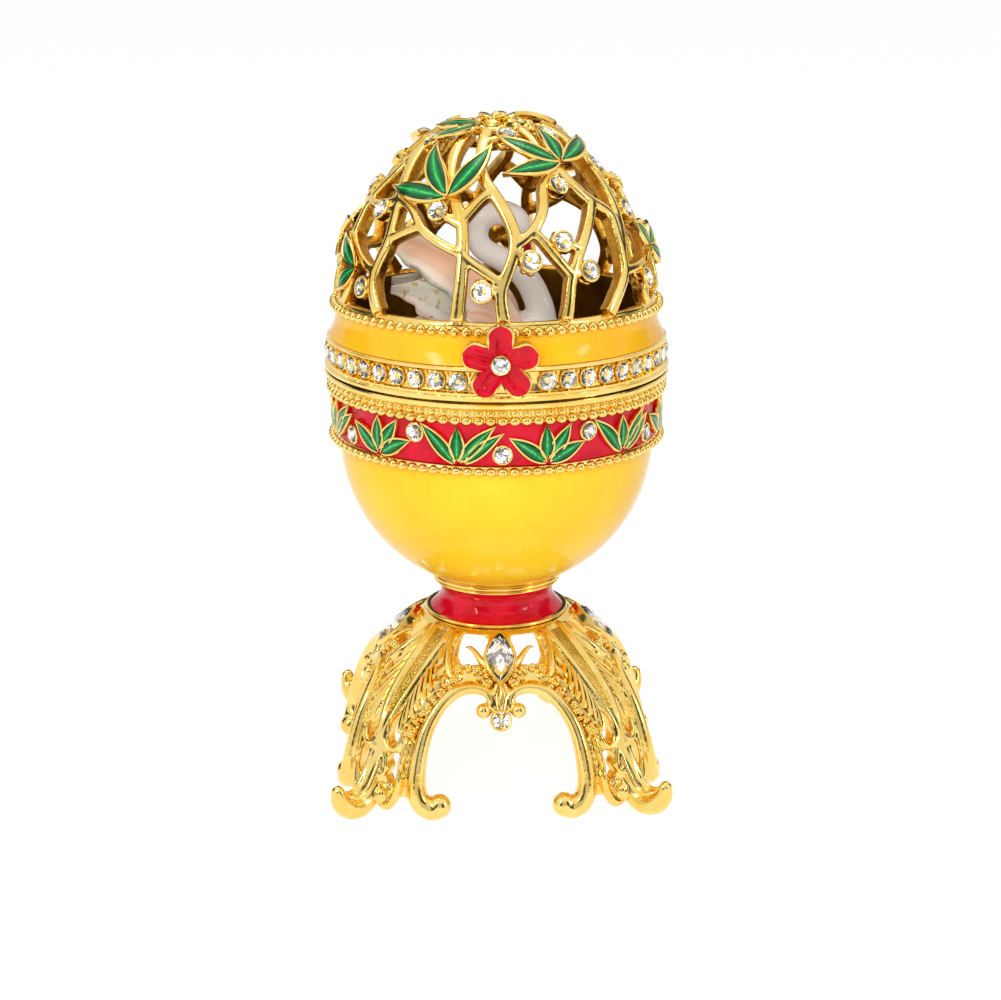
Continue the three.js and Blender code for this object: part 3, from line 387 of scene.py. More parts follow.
def sprayedFinish(name, stops, mottleSize, fleckColour, fleckStart):
    # Colours laid across a feather, as enamels sprayed in over each other, with flecks of a second colour:
    # gold grains where the gold grins through on the mottled feather, painted glints on the peach wing.
    finish, tree, shader = startFinish(name, {"Roughness": 0.14, "IOR": 1.5})
    across = addNode(tree, "ShaderNodeAttribute", {"attribute_name": "across"}).outputs["Fac"]
    place = addNode(tree, "ShaderNodeTexCoord").outputs["Object"]
    mottle = addNode(tree, "ShaderNodeTexNoise", {"Scale": 1 / (mottleSize * mm), "Detail": 3.0},
                     {"Vector": place})
    drift = addNode(tree, "ShaderNodeMath", {"operation": "MULTIPLY_ADD", 1: 0.4, 2: -0.2}, {0: mottle})
    shade = addNode(tree, "ShaderNodeMath", {"operation": "ADD"}, {0: across, 1: drift})
    sprayed = addNode(tree, "ShaderNodeValToRGB", {"stops": stops}, {"Fac": shade})
    specks = addNode(tree, "ShaderNodeTexNoise", {"Scale": 1 / (1.2 * mm), "Detail": 2.0}, {"Vector": place})
    fleck = addNode(tree, "ShaderNodeValToRGB", {
        "stops": [(fleckStart, 0.0), (fleckStart + 0.05, 0.75)]}, {"Fac": specks})
    colour = addNode(tree, "ShaderNodeMix", {"data_type": "RGBA", 7: linear(fleckColour)},
                     {0: fleck, 6: sprayed})
    bump = addNode(tree, "ShaderNodeBump", {"Strength": 1.0, "Distance": 0.1 * mm}, {"Height": mottle})
    join(tree, colour.outputs[2], shader.inputs["Base Color"])
    join(tree, bump, shader.inputs["Normal"])
    return finish


# On the peach wing the grey-green at the lower edge is a painted shadow of the underside, the near-white
# flecks are painted glints, and the peach is set paler than the enamel to make up for the shade inside the
# dome.
wingEnamelPaintedShadeAndGlints = sprayedFinish("Peach enamel, sprayed, with painted shade and glints", [
    (0.02, "#a8a894"), (0.14, "#f8ecda"), (0.42, "#ffd6ba"), (0.8, "#ffc6a2"), (1.0, "#ffe0ca")],
    4.5, "#fff2e6", 0.72)
mottledEnamel = sprayedFinish("Grey and peach enamel, sprayed", [
    (0.0, "#f8cbb0"), (0.16, "#e6d8c6"), (0.4, "#ccc6b5"), (0.75, "#c2bcaa"), (1.0, "#d8d1c3")],
    3.0, "#b08636", 0.58)

# Cut crystal with a foiled back: clear lead glass in front of a silver mirror, creased in small fields. The
# darker fields of the foil are painted dark reflections for the facets.
crystal, tree, shader = startFinish("Cut crystal", {
    "Base Color": linear("#ffffff"), "Roughness": 0.0, "IOR": 1.56, "Transmission Weight": 1.0})
foil, tree, shader = startFinish("Silver foil behind the crystal", {"Metallic": 1.0, "Roughness": 0.12})
place = addNode(tree, "ShaderNodeTexCoord").outputs["Object"]
# the darker fields are painted dark reflections
fields = addNode(tree, "ShaderNodeTexVoronoi", {"Scale": 1 / (0.7 * mm)}, {"Vector": place}).outputs["Color"]
join(tree, addNode(tree, "ShaderNodeValToRGB", {"stops": [(0.3, "#9a9996"), (0.54, "#fefdfb")]},
                   {"Fac": fields}), shader.inputs["Base Color"])

# Nickel-plated steel, turned: a cool grey, cloudy from handling.
steel, tree, shader = startFinish("Turned nickel-plated steel", {"Metallic": 1.0})
place = addNode(tree, "ShaderNodeTexCoord").outputs["Object"]
clouds = addNode(tree, "ShaderNodeTexNoise", {"Scale": 1 / (0.9 * mm), "Detail": 2.0}, {"Vector": place})
for socket, stops in (("Base Color", [(0.3, "#a9acb1"), (0.7, "#cfd1d4")]),
                      ("Roughness", [(0.3, 0.2), (0.7, 0.36)])):
    join(tree, addNode(tree, "ShaderNodeValToRGB", {"stops": stops}, {"Fac": clouds}), shader.inputs[socket])
print("finishes made")

# The egg's turned bands: heights and radii are the solid model's.
egg = {
    "collarZ": 30.0, "bowlZ": 36.2, "bowlBeadZ": 62.6, "lidEnamelZ": 81.2, "lidBeadZ": 86.4,
    "collarFootR": 12.7, "collarTopR": 11.3, "collarWaist": 1.8,
    "bowlR": 27.8, "bowlWall": 3.0, "bowlDepth": 27.8, "lipR": 27.0, "interiorR": 26.0,
    "lidInnerR": 27.35, "coveBottomR": 29.7, "coveTopR": 28.4, "coveSink": 0.55,
}


def bowlRadius(z):
    share = min((egg["bowlBeadZ"] - z) / egg["bowlDepth"], 0.999)
    return egg["bowlR"] * math.sqrt(1 - share * share)


def coveRadius(z):
    share = (z - egg["lidEnamelZ"]) / (egg["lidBeadZ"] - egg["lidEnamelZ"])
    return blend(egg["coveBottomR"], egg["coveTopR"], share) - egg["coveSink"] * math.sin(math.pi * share)


def collarRadius(z):
    share = (z - egg["collarZ"]) / (egg["bowlZ"] - egg["collarZ"])
    waist = egg["collarWaist"] * math.sin(math.pi * share)
    return blend(egg["collarFootR"], egg["collarTopR"], share) - waist


def wall(radiusAt, low, high, steps, inset=0.0):
    heights = [blend(low, high, i / steps) for i in range(steps + 1)]
    return [(radiusAt(z) - inset, z) for z in heights]


def skinProfile(radiusAt, low, high, steps, thickness):
    # A thin closed skin, such as a coat of enamel, on a turned wall.
    return wall(radiusAt, low, high, steps) + wall(radiusAt, high, low, steps, thickness)


def roundedLine(r, z, size):
    # A small half-round moulding that stands out from r at height z.
    return [(r + size * math.sin(math.pi * i / 5), z - size * math.cos(math.pi * i / 5)) for i in range(6)]


def paintShadeInside(piece, isInside):
    for face in piece.data.polygons:
        middle = face.center / mm
        if isInside(math.hypot(middle.x, middle.y), middle.z, face.normal):
            face.material_index = 1


lipR, interiorR = egg["lipR"], egg["interiorR"]
bowlPiece = addPiece("goldBowl", revolved([
    (0.6, 39.3), (1.7, 39.3), (1.7, 36.2), (11.2, 36.2), *roundedLine(11.3, 36.75, 0.42),
    (bowlRadius(37.3), 37.3), *wall(bowlRadius, 37.5, 62.2, 40, 0.6),
    (27.9, 62.5), (28.6, 62.7), (29.0, 63.0), (29.1, 63.4), (28.9, 63.9),
    (28.6, 64.2), (28.1, 64.4), (28.1, 71.3), (28.9, 71.5), (29.3, 71.8), (29.4, 72.9), (29.6, 73.9),
    (30.15, 74.15), (30.4, 74.4), (30.4, 74.95), (30.2, 75.15), (lipR, 75.15), (lipR, 76.35),
    (lipR - 0.15, 76.45), (interiorR + 0.1, 76.45), (interiorR, 76.3), (interiorR, 64.0),
    *[(bowlRadius(z) - egg["bowlWall"], z) for z in (62, 60, 58, 56, 54, 52, 50, 48, 46, 44.5)],
    (15.5, 42.6), (13.5, 41.6), (10.5, 41.0), (6.0, 40.7), (0.6, 40.7)]),
    [gold, goldInsidePaintedShade], "base", ["bowl"])
# the inner faces take the darkened inside gold: painted shade
paintShadeInside(bowlPiece, lambda r, z, normal: z > 40 and r < bowlRadius(min(z, 62.5)) - 1.6)

addPiece("yellowBowlEnamel", revolved(skinProfile(bowlRadius, 37.45, 62.4, 60, 0.5)),
         yellowEnamel, "base", ["bowl_enamel"])

addPiece("goldCollar", revolved([
    (1.8, 30.0), (12.75, 30.0), *roundedLine(12.6, 30.32, 0.28), *wall(collarRadius, 30.62, 35.6, 12, 0.35),
    *roundedLine(11.25, 35.95, 0.25), (1.8, 36.2)]), gold, "base", ["collar"])
addPiece("redCollarEnamel", revolved(skinProfile(collarRadius, 30.62, 35.68, 24, 0.33)),
         redEnamel, "base", ["collar_enamel"])

lidBand = addPiece("goldLidBand", revolved([
    (egg["lidInnerR"], 75.45), (30.2, 75.45), (30.4, 75.65), (30.4, 76.15), (30.15, 76.4), (29.95, 76.5),
    (29.95, 76.85), (29.5, 77.0), (29.35, 77.2), (29.35, 80.3), (29.5, 80.5), (29.95, 80.65), (29.95, 80.95),
    (29.7, 81.2), (29.3, 81.35), *wall(coveRadius, 81.5, 86.2, 14, 0.4), (28.3, 86.35), (28.45, 86.6),
    (28.4, 87.1), (28.2, 87.5), (27.9, 87.8), (26.2, 87.8), (26.2, 86.4), (egg["lidInnerR"], 81.2)]),
    [gold, goldInsidePaintedShade], "lid", ["lid_band"])
# the inner faces take the darkened inside gold: painted shade
paintShadeInside(lidBand, lambda r, z, normal: r < 27.6 and normal.z < 0.8)
addPiece("yellowLidEnamel", revolved(skinProfile(coveRadius, 81.38, 86.28, 20, 0.38)),
         lidEnamelPaintedShade, "lid", ["lid_enamel"])

# Rows of cast beads: half sizes and spacing in mm, counted so that they close.
beadRows = {
    "lidBeads": {"z": 86.85, "r": 28.5, "size": 0.95, "tall": 0.98, "pitch": 2.0, "body": "lid"},
    "bowlBeads": {"z": 63.3, "r": 29.0, "size": 0.94, "tall": 0.78, "pitch": 1.95, "body": "base"},
    "upperRimBeads": {"z": 73.45, "r": 29.4, "size": 0.84, "tall": 0.78, "pitch": 2.0, "body": "base"},
    "lowerRimBeads": {"z": 72.1, "r": 29.2, "size": 1.04, "tall": 0.82, "pitch": 2.0, "body": "base"},
}
for name, row in beadRows.items():
    count = round(2 * math.pi * row["r"] / row["pitch"])
    beads = []
    for i in range(count):
        out = polar(360 * i / count, 1, 0)
        size = row["size"] * random.uniform(0.95, 1.04)
        beads.append(ball(polar(360 * i / count, row["r"], row["z"]), size, out, 0.95, 12, 8, row["tall"]))
    if "Rim" in name:   # small grains between the beads, as the casting has
        beads += [ball(polar(360 * (i + 0.5) / count, row["r"] + 0.1, row["z"] + 0.6), 0.32,
                       polar(360 * i / count, 1, 0), 1.0, 8, 5) for i in range(count)]
    addPiece(name, gather(beads), gold, row["body"])
print("turned bands and beads made")


# Set stones: a brilliant with an eight-sided table, crown facets, a girdle and a foiled cone behind.
stoneLook = {"girdle": 0.98, "crown": 0.38, "table": 0.5}


def cutStone(centre, out, radius, depth):
    # The depth of the cone behind is a share of the radius.
    side = Vector((0, 0, 1)).cross(out).normalized()
    top = out.cross(side)

    def ring(r, height, count, start=0.0):
        return [centre + (side * math.cos(a) + top * math.sin(a)) * (r * radius) + out * (height * radius)
                for a in (2 * math.pi * (k + start) / count for k in range(count))]

    corners = (ring(stoneLook["table"], stoneLook["crown"], 8) + ring(0.76, 0.22, 8, 0.5)
               + ring(stoneLook["girdle"], 0.03, 16) + ring(0.5, -depth * 0.48, 8, 0.25)
               + [centre - out * (depth * radius)])
    faces, behind = [list(range(8))], []
    for k in range(8):
        n = (k + 1) % 8
        g, h, j = 16 + 2 * k, 17 + 2 * k, 16 + (2 * k + 2) % 16
        faces += [[k, 8 + k, n], [k, g, 8 + k], [8 + k, g, h], [8 + k, h, j], [8 + k, j, n]]
        behind += [[g, 32 + k, h], [h, 32 + k, 32 + n], [h, 32 + n, j], [32 + k, 40, 32 + n]]
    return (corners, faces + behind), len(faces)


def stonePiece(name, stones, body, replaces=()):
    piece = addPiece(name, gather([shape for shape, _ in stones]), [crystal, foil], body, replaces,
                     sharp=5)
    start = 0
    for shape, crownCount in stones:
        for i in range(start + crownCount, start + len(shape[1])):
            piece.data.polygons[i].material_index = 1
        start += len(shape[1])
    return piece


def stoneCup(centre, out, radius, depth, rise, cupWall):
    # A turned cup with a rolled lip round a stone.
    rim = radius + cupWall
    profile = [(0.05, -depth), (rim - 0.1, -depth), (rim + 0.05, -depth * 0.5), (rim, rise * 0.3),
               (rim - cupWall * 0.3, rise * 0.85), (rim - cupWall * 0.65, rise), (radius, rise * 0.7),
               (radius * 0.97, -0.1), (radius * 0.9, -depth + 0.12), (0.05, -depth + 0.1)]
    return revolved(profile, 20, centre, out)


# The row in the lid's band: 50 places, three of them blank behind the flower.
stoneRow = {"places": 50, "count": 47, "first": 14.4, "radius": 1.45, "depth": 0.38, "seatR": 29.8,
            "z": 78.75}
rowStones, rowCups = [], []
step = 360 / stoneRow["places"]
for i in range(stoneRow["count"]):
    azimuth = stoneRow["first"] + step * i
    out = polar(azimuth, 1, 0)
    seat = polar(azimuth, stoneRow["seatR"], stoneRow["z"])
    rowStones.append(cutStone(seat, out, stoneRow["radius"], stoneRow["depth"]))
    rowCups.append(stoneCup(seat, out, stoneRow["radius"], 0.5, 0.12, 0.16))
    for high in (-1.05, 1.05):   # the little claws between neighbours
        rowCups.append(ball(polar(azimuth + step / 2, stoneRow["seatR"] - 0.3, stoneRow["z"] + high), 0.34,
                            out, 0.8, 8, 5))
stonePiece("stoneRow", rowStones, "lid", ["lid_stone_row"])
addPiece("stoneRowCups", gather(rowCups), gold, "lid")
print("stone row set")

# The openwork dome. Places are [azimuth from the clasp in degrees, percent of the dome's height].
dome = {
    "footR": 28.4, "z": 88.1, "height": 31.2,
    "twig": 0.94,    # half a branch of width 1
    "face": 0.1,     # how far the branches stand out of the dome's surface
    "deep": 2.4, "swell": 0.25, "rounding": 5, "grain": 0.23,
    "armWidth": 0.8, "cupSeat": 0.35, "cupDepth": 1.3, "stoneR": 1.5, "stoneDepth": 0.32,
    "webBlobs": 7, "webStep": 51,     # degrees from one blob of the rough web to the next
    "crownFoot": 116.5,
}


def domeRadius(share):
    return dome["footR"] * math.sqrt(max(1 - share ** 1.6, 0.0))


def domeLean(share):
    low, high = max(share - 0.01, 0.0), min(share + 0.01, 1.0)
    return Vector((dome["height"], (domeRadius(low) - domeRadius(high)) / (high - low))).normalized()


def onDome(azimuth, percent, lift=0.0):
    share = percent / 100
    lean = domeLean(share)
    z = dome["z"] + share * dome["height"]
    return polar(azimuth, domeRadius(share) + lift * lean.x, z + lift * lean.y)


def domeNormal(point):
    lean = domeLean(min(max((point.z - dome["z"]) / dome["height"], 0.0), 0.985))
    return Vector((point.x, point.y, 0)).normalized() * lean.x + Vector((0, 0, lean.y))


# One half of the branches, with their widths; the other half is the same, turned half round.
branches = [
    (1.1, [[-47, 1.5], [-50, 10], [-52, 22], [-48, 40], [-53, 60], [-59, 72], [-70, 86], [-80, 95]]),
    (0.8, [[-48, 40], [-41, 45], [-35, 48]]),
    (0.85, [[-15, 36], [-25, 41], [-35, 48], [-41, 56], [-53, 60]]),
    (1.1, [[-15.5, 1.5], [-14.5, 28], [-16.5, 53], [-24, 65], [-31, 80], [-36, 95]]),
    (0.9, [[-16.5, 53], [-10, 63], [-4, 67]]),
    (1.1, [[0.5, 1.5], [-0.5, 12], [0, 21], [6, 41], [2.5, 56], [-4, 67], [-11, 76], [-14, 95]]),
    (0.85, [[0, 21], [-7, 28], [-12, 32], [-15, 36]]),
    (0.95, [[6, 41], [13, 47], [20, 59], [22, 70], [30, 74], [36, 76], [30, 95]]),
    (0.9, [[13, 47], [16, 43], [18.5, 38], [26, 24]]),
    (1.0, [[22.5, 1.5], [24, 12], [26, 24], [33.5, 40], [46, 58]]),
    (1.1, [[40.5, 1.5], [46, 12], [52, 22], [54, 41], [56, 52], [46, 59], [38, 71], [36, 76]]),
    (1.05, [[53, 30], [64, 58], [67, 78], [78, 95]]),
    (0.9, [[52, 22], [66, 23], [84, 31], [103, 37]]),
    (0.9, [[-52, 22], [-64, 28], [-77, 37]]),
    (1.1, [[-88, 1.5], [-87, 20], [-77, 37], [-81, 56], [-70, 72], [-70, 86]]),
    (0.8, [[-81, 56], [-66, 55], [-53, 60]]),
    (0.8, [[66, 23], [62, 12], [64, 1.5]]),
    (0.75, [[-70, 1.5], [-66, 12], [-64, 28]]),
]
# Each stone sits in a cup on an arm that joins the nearest branch: its place, then the arm's foot.
domeStones = [
    ([-28, 56], [-16, 50]), ([-60, 53], [-52, 55]), ([-7, 17], [0, 19]), ([10.5, 32], [5, 38]),
    ([24, 41], [32, 37]), ([33, 25], [26, 25]), ([30, 68], [34, 76]), ([-56, 13], [-50, 15]),
    ([-80, 22], [-87, 21]), ([65, 15], [64, 8]), ([69, 51], [61, 51]), ([70, 74], [66, 73]),
    ([-62, 88], [-70, 87]), ([-88, 62], [-80, 58]), ([8, 92], [-13, 90]), ([52, 91], [33, 90]),
]
# The section of a branch, from edge to edge over its low crown, as (share of the half width, mm out)
branchCrown = [(-1, -0.3), (-0.92, -0.02), (-0.5, 0.16), (0, 0.24), (0.5, 0.16), (0.92, -0.02), (1, -0.3)]


def branchBar(path, width):
    # A bar with crisp edges and deep sides. It swells at its foot, as a trunk does.
    line = alongCurve([(a, p, width * (1 + dome["swell"] * math.exp(-p / 4))) for a, p in path], 5)
    deep = dome["deep"]
    section = [(-0.7, -deep), (-0.95, -deep * 0.6), *branchCrown, (0.95, -deep * 0.6), (0.7, -deep)]
    for _ in range(dome["rounding"]):   # rounds the bends
        line = [line[0]] + [tuple((u + 2 * v + w) / 4 for u, v, w in zip(*near))
                            for near in zip(line, line[1:], line[2:])] + [line[-1]]
    spots = [onDome(a, p, dome["face"]) for a, p, _ in line]
    last = len(spots) - 1
    rings = []
    for i, (_, _, w) in enumerate(line):
        along = (spots[min(i + 1, last)] - spots[max(i - 1, 0)]).normalized()
        out = domeNormal(spots[i])
        side = along.cross(out).normalized()
        rings.append([spots[i] + side * (s * dome["twig"] * w) + out * h for s, h in section])
    return loft(rings)


castParts, domeCups, stones = [], [], []
for half in (0, 180):
    for width, path in branches:
        castParts.append(branchBar([[a + half, p] for a, p in path], width))
    for (azimuth, percent), (armAzimuth, armPercent) in domeStones:
        seat = onDome(azimuth + half, percent, dome["cupSeat"])
        out = domeNormal(seat)
        castParts.append(branchBar([[azimuth + half, percent],
                                    [(azimuth + armAzimuth) / 2 + half, (percent + armPercent) / 2],
                                    [armAzimuth + half, armPercent]], dome["armWidth"]))
        castParts.append(ball(seat - out * 1.9, 1.8, out, 0.6, 12, 8))
        for k in range(dome["webBlobs"]):   # the rough web of metal round the cup
            turn = math.radians(dome["webStep"] * k + random.uniform(-18, 18))
            aside = out.orthogonal().normalized()
            aside = aside * math.cos(turn) + out.cross(aside) * math.sin(turn)
            castParts.append(ball(seat + aside * random.uniform(1.2, 1.7) - out * random.uniform(1.5, 2.0),
                                  random.uniform(0.6, 0.85), out, 1.0, 8, 6))
        domeCups.append(stoneCup(seat, out, dome["stoneR"], dome["cupDepth"], 0.24, 0.42))
        stones.append(cutStone(seat + out * 0.08, out, dome["stoneR"], dome["stoneDepth"]))
# the foot ring behind the beads, and the crown where the branches meet
castParts.append(revolved([(26.3, 87.0), (28.0, 87.0), (28.0, 87.8), (27.6, 88.35), (26.6, 88.3)]))
castParts.append(revolved([(0.05, 117.0), (4.0, 116.8), (6.6, 116.2), (7.0, 116.9), (6.2, 117.7),
                           (4.0, 118.3), (0.05, 118.6)], 60))
# rough cast ground on the crown, laid out in a spiral by the golden angle
rough = {"count": 46, "turn": 137.5, "spread": 1.26, "z": 118.3, "fall": 0.028}
for k in range(rough["count"]):
    spot = polar(rough["turn"] * k, rough["spread"] * math.sqrt(k), rough["z"] - rough["fall"] * k)
    castParts.append(ball(spot, random.uniform(0.45, 0.85), Vector((0, 0, 1)), 0.9, 8, 6))
lattice = addPiece("domeBranches", castTogether("domeBranches", gather(castParts), dome["grain"], 3),
                   [gold, goldRough], "lid", ["lid_lattice"])
for face in lattice.data.polygons:   # the sides and backs are left as cast, the outer faces are polished
    middle = face.center / mm
    if face.normal.dot(domeNormal(middle)) < 0.3 and middle.z < dome["crownFoot"]:
        face.material_index = 1
addPiece("domeStoneCups", gather(domeCups), gold, "lid")
stonePiece("domeStones", stones, "lid")

# A small cast flower on the very top: two rounds of five petals and a knob.
finial = [ball(polar(72 * k + first, away, z), radius, polar(72 * k + first, tilt, upright), squash, 14, 8)
          for first, away, z, radius, upright, tilt, squash in (
              (20, 2.0, 118.6, 1.6, 0.8, -0.45, 0.36), (56, 3.3, 118.1, 1.45, 1.0, 0.6, 0.4))
          for k in range(5)]
finial.append(ball(Vector((0, 0, 118.85)), 1.0, Vector((0, 0, 1)), 1.0, 16, 9))
addPiece("topFlower", gather(finial), gold, "lid")
print("dome cast")


# Leaves: each is a gold tray with a raised rim, filled with green enamel up to a pale rib.
leafLook = {
    "rimHeight": 0.42, "fill": 0.3, "crown": 0.14, "thick": 0.75, "steps": 16,
    "lift": 0.72, "topLift": 0.4,   # off the dome, and off its crown
    "overlap": 0.12, "rim": 0.5, "arch": 0.5,
}


def makeLeaf(place, normalAt, foot, tip, width, rim, lift, arch, bow=0.0, blunt=0.95):
    # place turns (x, y, lift) into a point, and bow bends the leaf sideways.
    tray, fill, marks = [], [], []
    steps = leafLook["steps"]

    def middleAt(t):
        x, y = blend(foot[0], tip[0], t), blend(foot[1], tip[1], t)
        point = place(x, y, lift + arch * math.sin(math.pi * t))
        if bow:
            ahead = place(x + (tip[0] - foot[0]) * 0.01, y + (tip[1] - foot[1]) * 0.01, lift)
            aside = (ahead - place(x, y, lift)).cross(normalAt(point)).normalized()
            point += aside * bow * math.sin(math.pi * t)
        return point

    for i in range(steps + 1):
        t = 0.02 + 0.98 * i / steps
        middle = middleAt(t)
        along = (middleAt(min(t + 0.02, 1.0)) - middleAt(max(t - 0.02, 0.0))).normalized()
        out = normalAt(middle)
        side = along.cross(out).normalized()
        out = side.cross(along)
        wide = max(width / 2 * math.sin(math.pi * min(t, 0.995) ** 0.8) ** blunt, 0.06)
        inner = max(wide - rim, 0.02)
        near, far = blend(inner, wide, 0.15), blend(inner, wide, 0.8)
        high = leafLook["rimHeight"]
        edge = [(inner * 0.9, 0.02), (inner, 0.24), (near, high), (far, high), (wide, 0.26), (wide, -0.25)]
        section = [(-s, h) for s, h in reversed(edge)] + edge
        section += [(wide * 0.45, -leafLook["thick"]), (-wide * 0.45, -leafLook["thick"])]
        tray.append([middle + side * s + out * h for s, h in section])
        if 0 < i < steps:
            crown = leafLook["crown"] * min(inner / 0.8, 1.0)
            fillAt = [(-1, 0), (-0.8, crown * 0.7), (-0.5, crown), (-0.18, crown * 0.35), (0, crown * 0.85),
                      (0.18, crown * 0.35), (0.5, crown), (0.8, crown * 0.7), (1, 0)]
            ring = [middle + side * (s * inner) + out * (leafLook["fill"] + h) for s, h in fillAt]
            ring += [middle + side * (s * inner * 0.8) + out * 0.04 for s in (1, -1)]
            fill.append(ring)
            marks += [abs(s) for s, _ in fillAt] + [1.0, 1.0]
    return loft(tray), loft(fill), marks


def leafPieces(name, leaves, body, replaces):
    addPiece(name + "Rims", gather([tray for tray, _, _ in leaves]), gold, body, replaces[:1], 50)
    addPiece(name + "Enamel", gather([fill for _, fill, _ in leaves]), leafEnamel, body, replaces,
             60, marks={"rib": [mark for _, _, marks in leaves for mark in marks]})


# Foot and tips of each spray on the dome, and the leaf width in mm.
domeSprays = [
    ([-24, 61.5], [[-58, 64], [-47, 86], [-5, 86]], 3.8),
    ([36, 77], [[1, 73], [-2, 90], [38, 93], [76, 86]], 3.5),
    ([-60, 22], [[-71, 7], [-78, 37]], 3.3),
    ([72, 30], [[66, 44], [86, 40], [80, 18]], 3.4),
    ([-22, 95.5], [[-62, 87], [-86, 92]], 3.3),
]
domeLeaves = []
for half in (0, 180):
    for foot, tips, width in domeSprays:
        for n, tip in enumerate(tips):
            # each leaf lies a little over the last
            lift = leafLook["lift" if foot[1] < 90 else "topLift"] + leafLook["overlap"] * n
            domeLeaves.append(makeLeaf(
                onDome, domeNormal, [foot[0] + half, foot[1]], [tip[0] + half, tip[1]],
                width, leafLook["rim"], lift, leafLook["arch"]))
leafPieces("domeLeaf", domeLeaves, "lid", ["leaf_spray_%d" % (k + 1) for k in range(8)])
print("dome leaves made")


# The red frieze: enamel ground, twelve stones high and low in turn, and two kinds of spray between.
frieze = {
    "low": 64.35, "high": 71.45, "backR": 28.0, "r": 28.72, "foot": 64.6, "count": 12,
    "rim": 0.42, "lift": 0.28, "arch": 0.25, "tallest": 6.6,
    "stoneR": 1.4, "stoneDepth": 0.36, "cupDepth": 0.9, "seat": 0.42, "stoneZ": (66.25, 69.35),
}
low, high, backR, r = (frieze[key] for key in ("low", "high", "backR", "r"))
addPiece("redFrieze", revolved([
    (backR, low), (r + 0.05, low), (r - 0.05, 64.9), (r - 0.12, 66.5), (r - 0.12, 69.5), (r - 0.05, 71.0),
    (r + 0.05, high), (backR, high)]), redEnamel, "base", ["frieze_enamel"])

# Leaves of a spray as (foot across, foot up), (tip across, tip up), width, bow, in mm from its foot.
sprayLeaves = [
    [((-0.2, 0.0), (-6.5, 4.6), 2.9, 0.25), ((0.4, 0.0), (6.8, 3.2), 2.9, -0.3),
     ((0.3, 1.0), (4.1, 6.5), 2.8, 0.1), ((-0.1, 0.6), (-0.2, 6.6), 2.9, 0.0)],
    [((-0.4, -0.1), (-6.5, 6.8), 2.8, 0.3), ((1.3, 0.0), (7.8, 5.4), 2.4, -0.3),
     ((0.4, 0.2), (6.4, 6.8), 2.6, -0.3), ((0.0, 0.4), (0.0, 6.3), 2.9, 0.0)],
]


def onFrieze(azimuth, height, lift):
    return polar(azimuth, frieze["r"] - 0.15 + lift, height)


def outwards(point):
    return Vector((point.x, point.y, 0)).normalized()


friezeLeaves, friezeStones, friezeCups = [], [], []
perMm = 180 / math.pi / 28.9   # degrees for a millimetre along the band
for k in range(frieze["count"]):
    middle = 360 * (k + 0.5) / frieze["count"]
    for foot, tip, width, bow in sprayLeaves[k % 2]:
        friezeLeaves.append(makeLeaf(
            onFrieze, outwards, [middle + foot[0] * perMm, frieze["foot"] + foot[1]],
            [middle + tip[0] * perMm, frieze["foot"] + min(tip[1], frieze["tallest"])],
            width, frieze["rim"], frieze["lift"], frieze["arch"], bow, 0.85))
    out = polar(360 * k / frieze["count"], 1, 0)
    seat = out * (frieze["r"] + frieze["seat"]) + Vector((0, 0, frieze["stoneZ"][k % 2]))
    friezeStones.append(cutStone(seat, out, frieze["stoneR"], frieze["stoneDepth"]))
    friezeCups.append(stoneCup(seat, out, frieze["stoneR"], frieze["cupDepth"], 0.14, 0.3))
leafPieces("friezeLeaf", friezeLeaves, "base", ["frieze_spray_%d" % (k + 1) for k in range(frieze["count"])])
stonePiece("friezeStones", friezeStones, "base")
addPiece("friezeStoneCups", gather(friezeCups), gold, "base")
print("frieze made")


# The clasp's flower: five petals, each a dished gold tray with red enamel, folded towards the centre.
flower = {"x": -0.45, "y": 30.3, "z": 82.3, "rim": 0.46, "start": 1.4, "stoneR": 1.45, "stoneDepth": 0.4}
# degrees, length and width in mm
petalShapes = [(90, 6.5, 4.6), (16, 6.4, 4.8), (-49, 6.4, 4.7), (-127, 6.3, 4.6), (162, 6.5, 4.7)]
# share of the length, share of the width
petalOutline = [(0.0, 0.55), (0.15, 0.78), (0.33, 0.92), (0.5, 0.99), (0.68, 1.0), (0.82, 0.88),
                (0.93, 0.6), (1.0, 0.2)]


def onFlower(x, height, lift):
    return Vector((flower["x"] + x, -(flower["y"] + lift), flower["z"] + height))


def petalLift(t, s, turn):
    # One edge lies over the next petal, the middle is creased towards the centre, and the tip curls forward.
    crease = 0.42 * math.exp(-(s / 0.26) ** 2) * (1 - t) ** 0.6
    folds = 0.15 * math.cos(2.6 * math.pi * s + turn) * math.sin(math.pi * min(t + 0.15, 1.0)) * (1 - s * s)
    folds += 0.09 * math.sin(9 * t + 2 * s + turn)
    dish = 0.5 * t * t + 0.26 * s * (1 - 0.6 * t) + 0.26 * s * s * math.sin(math.pi * t)
    return 1.25 + dish - crease + folds


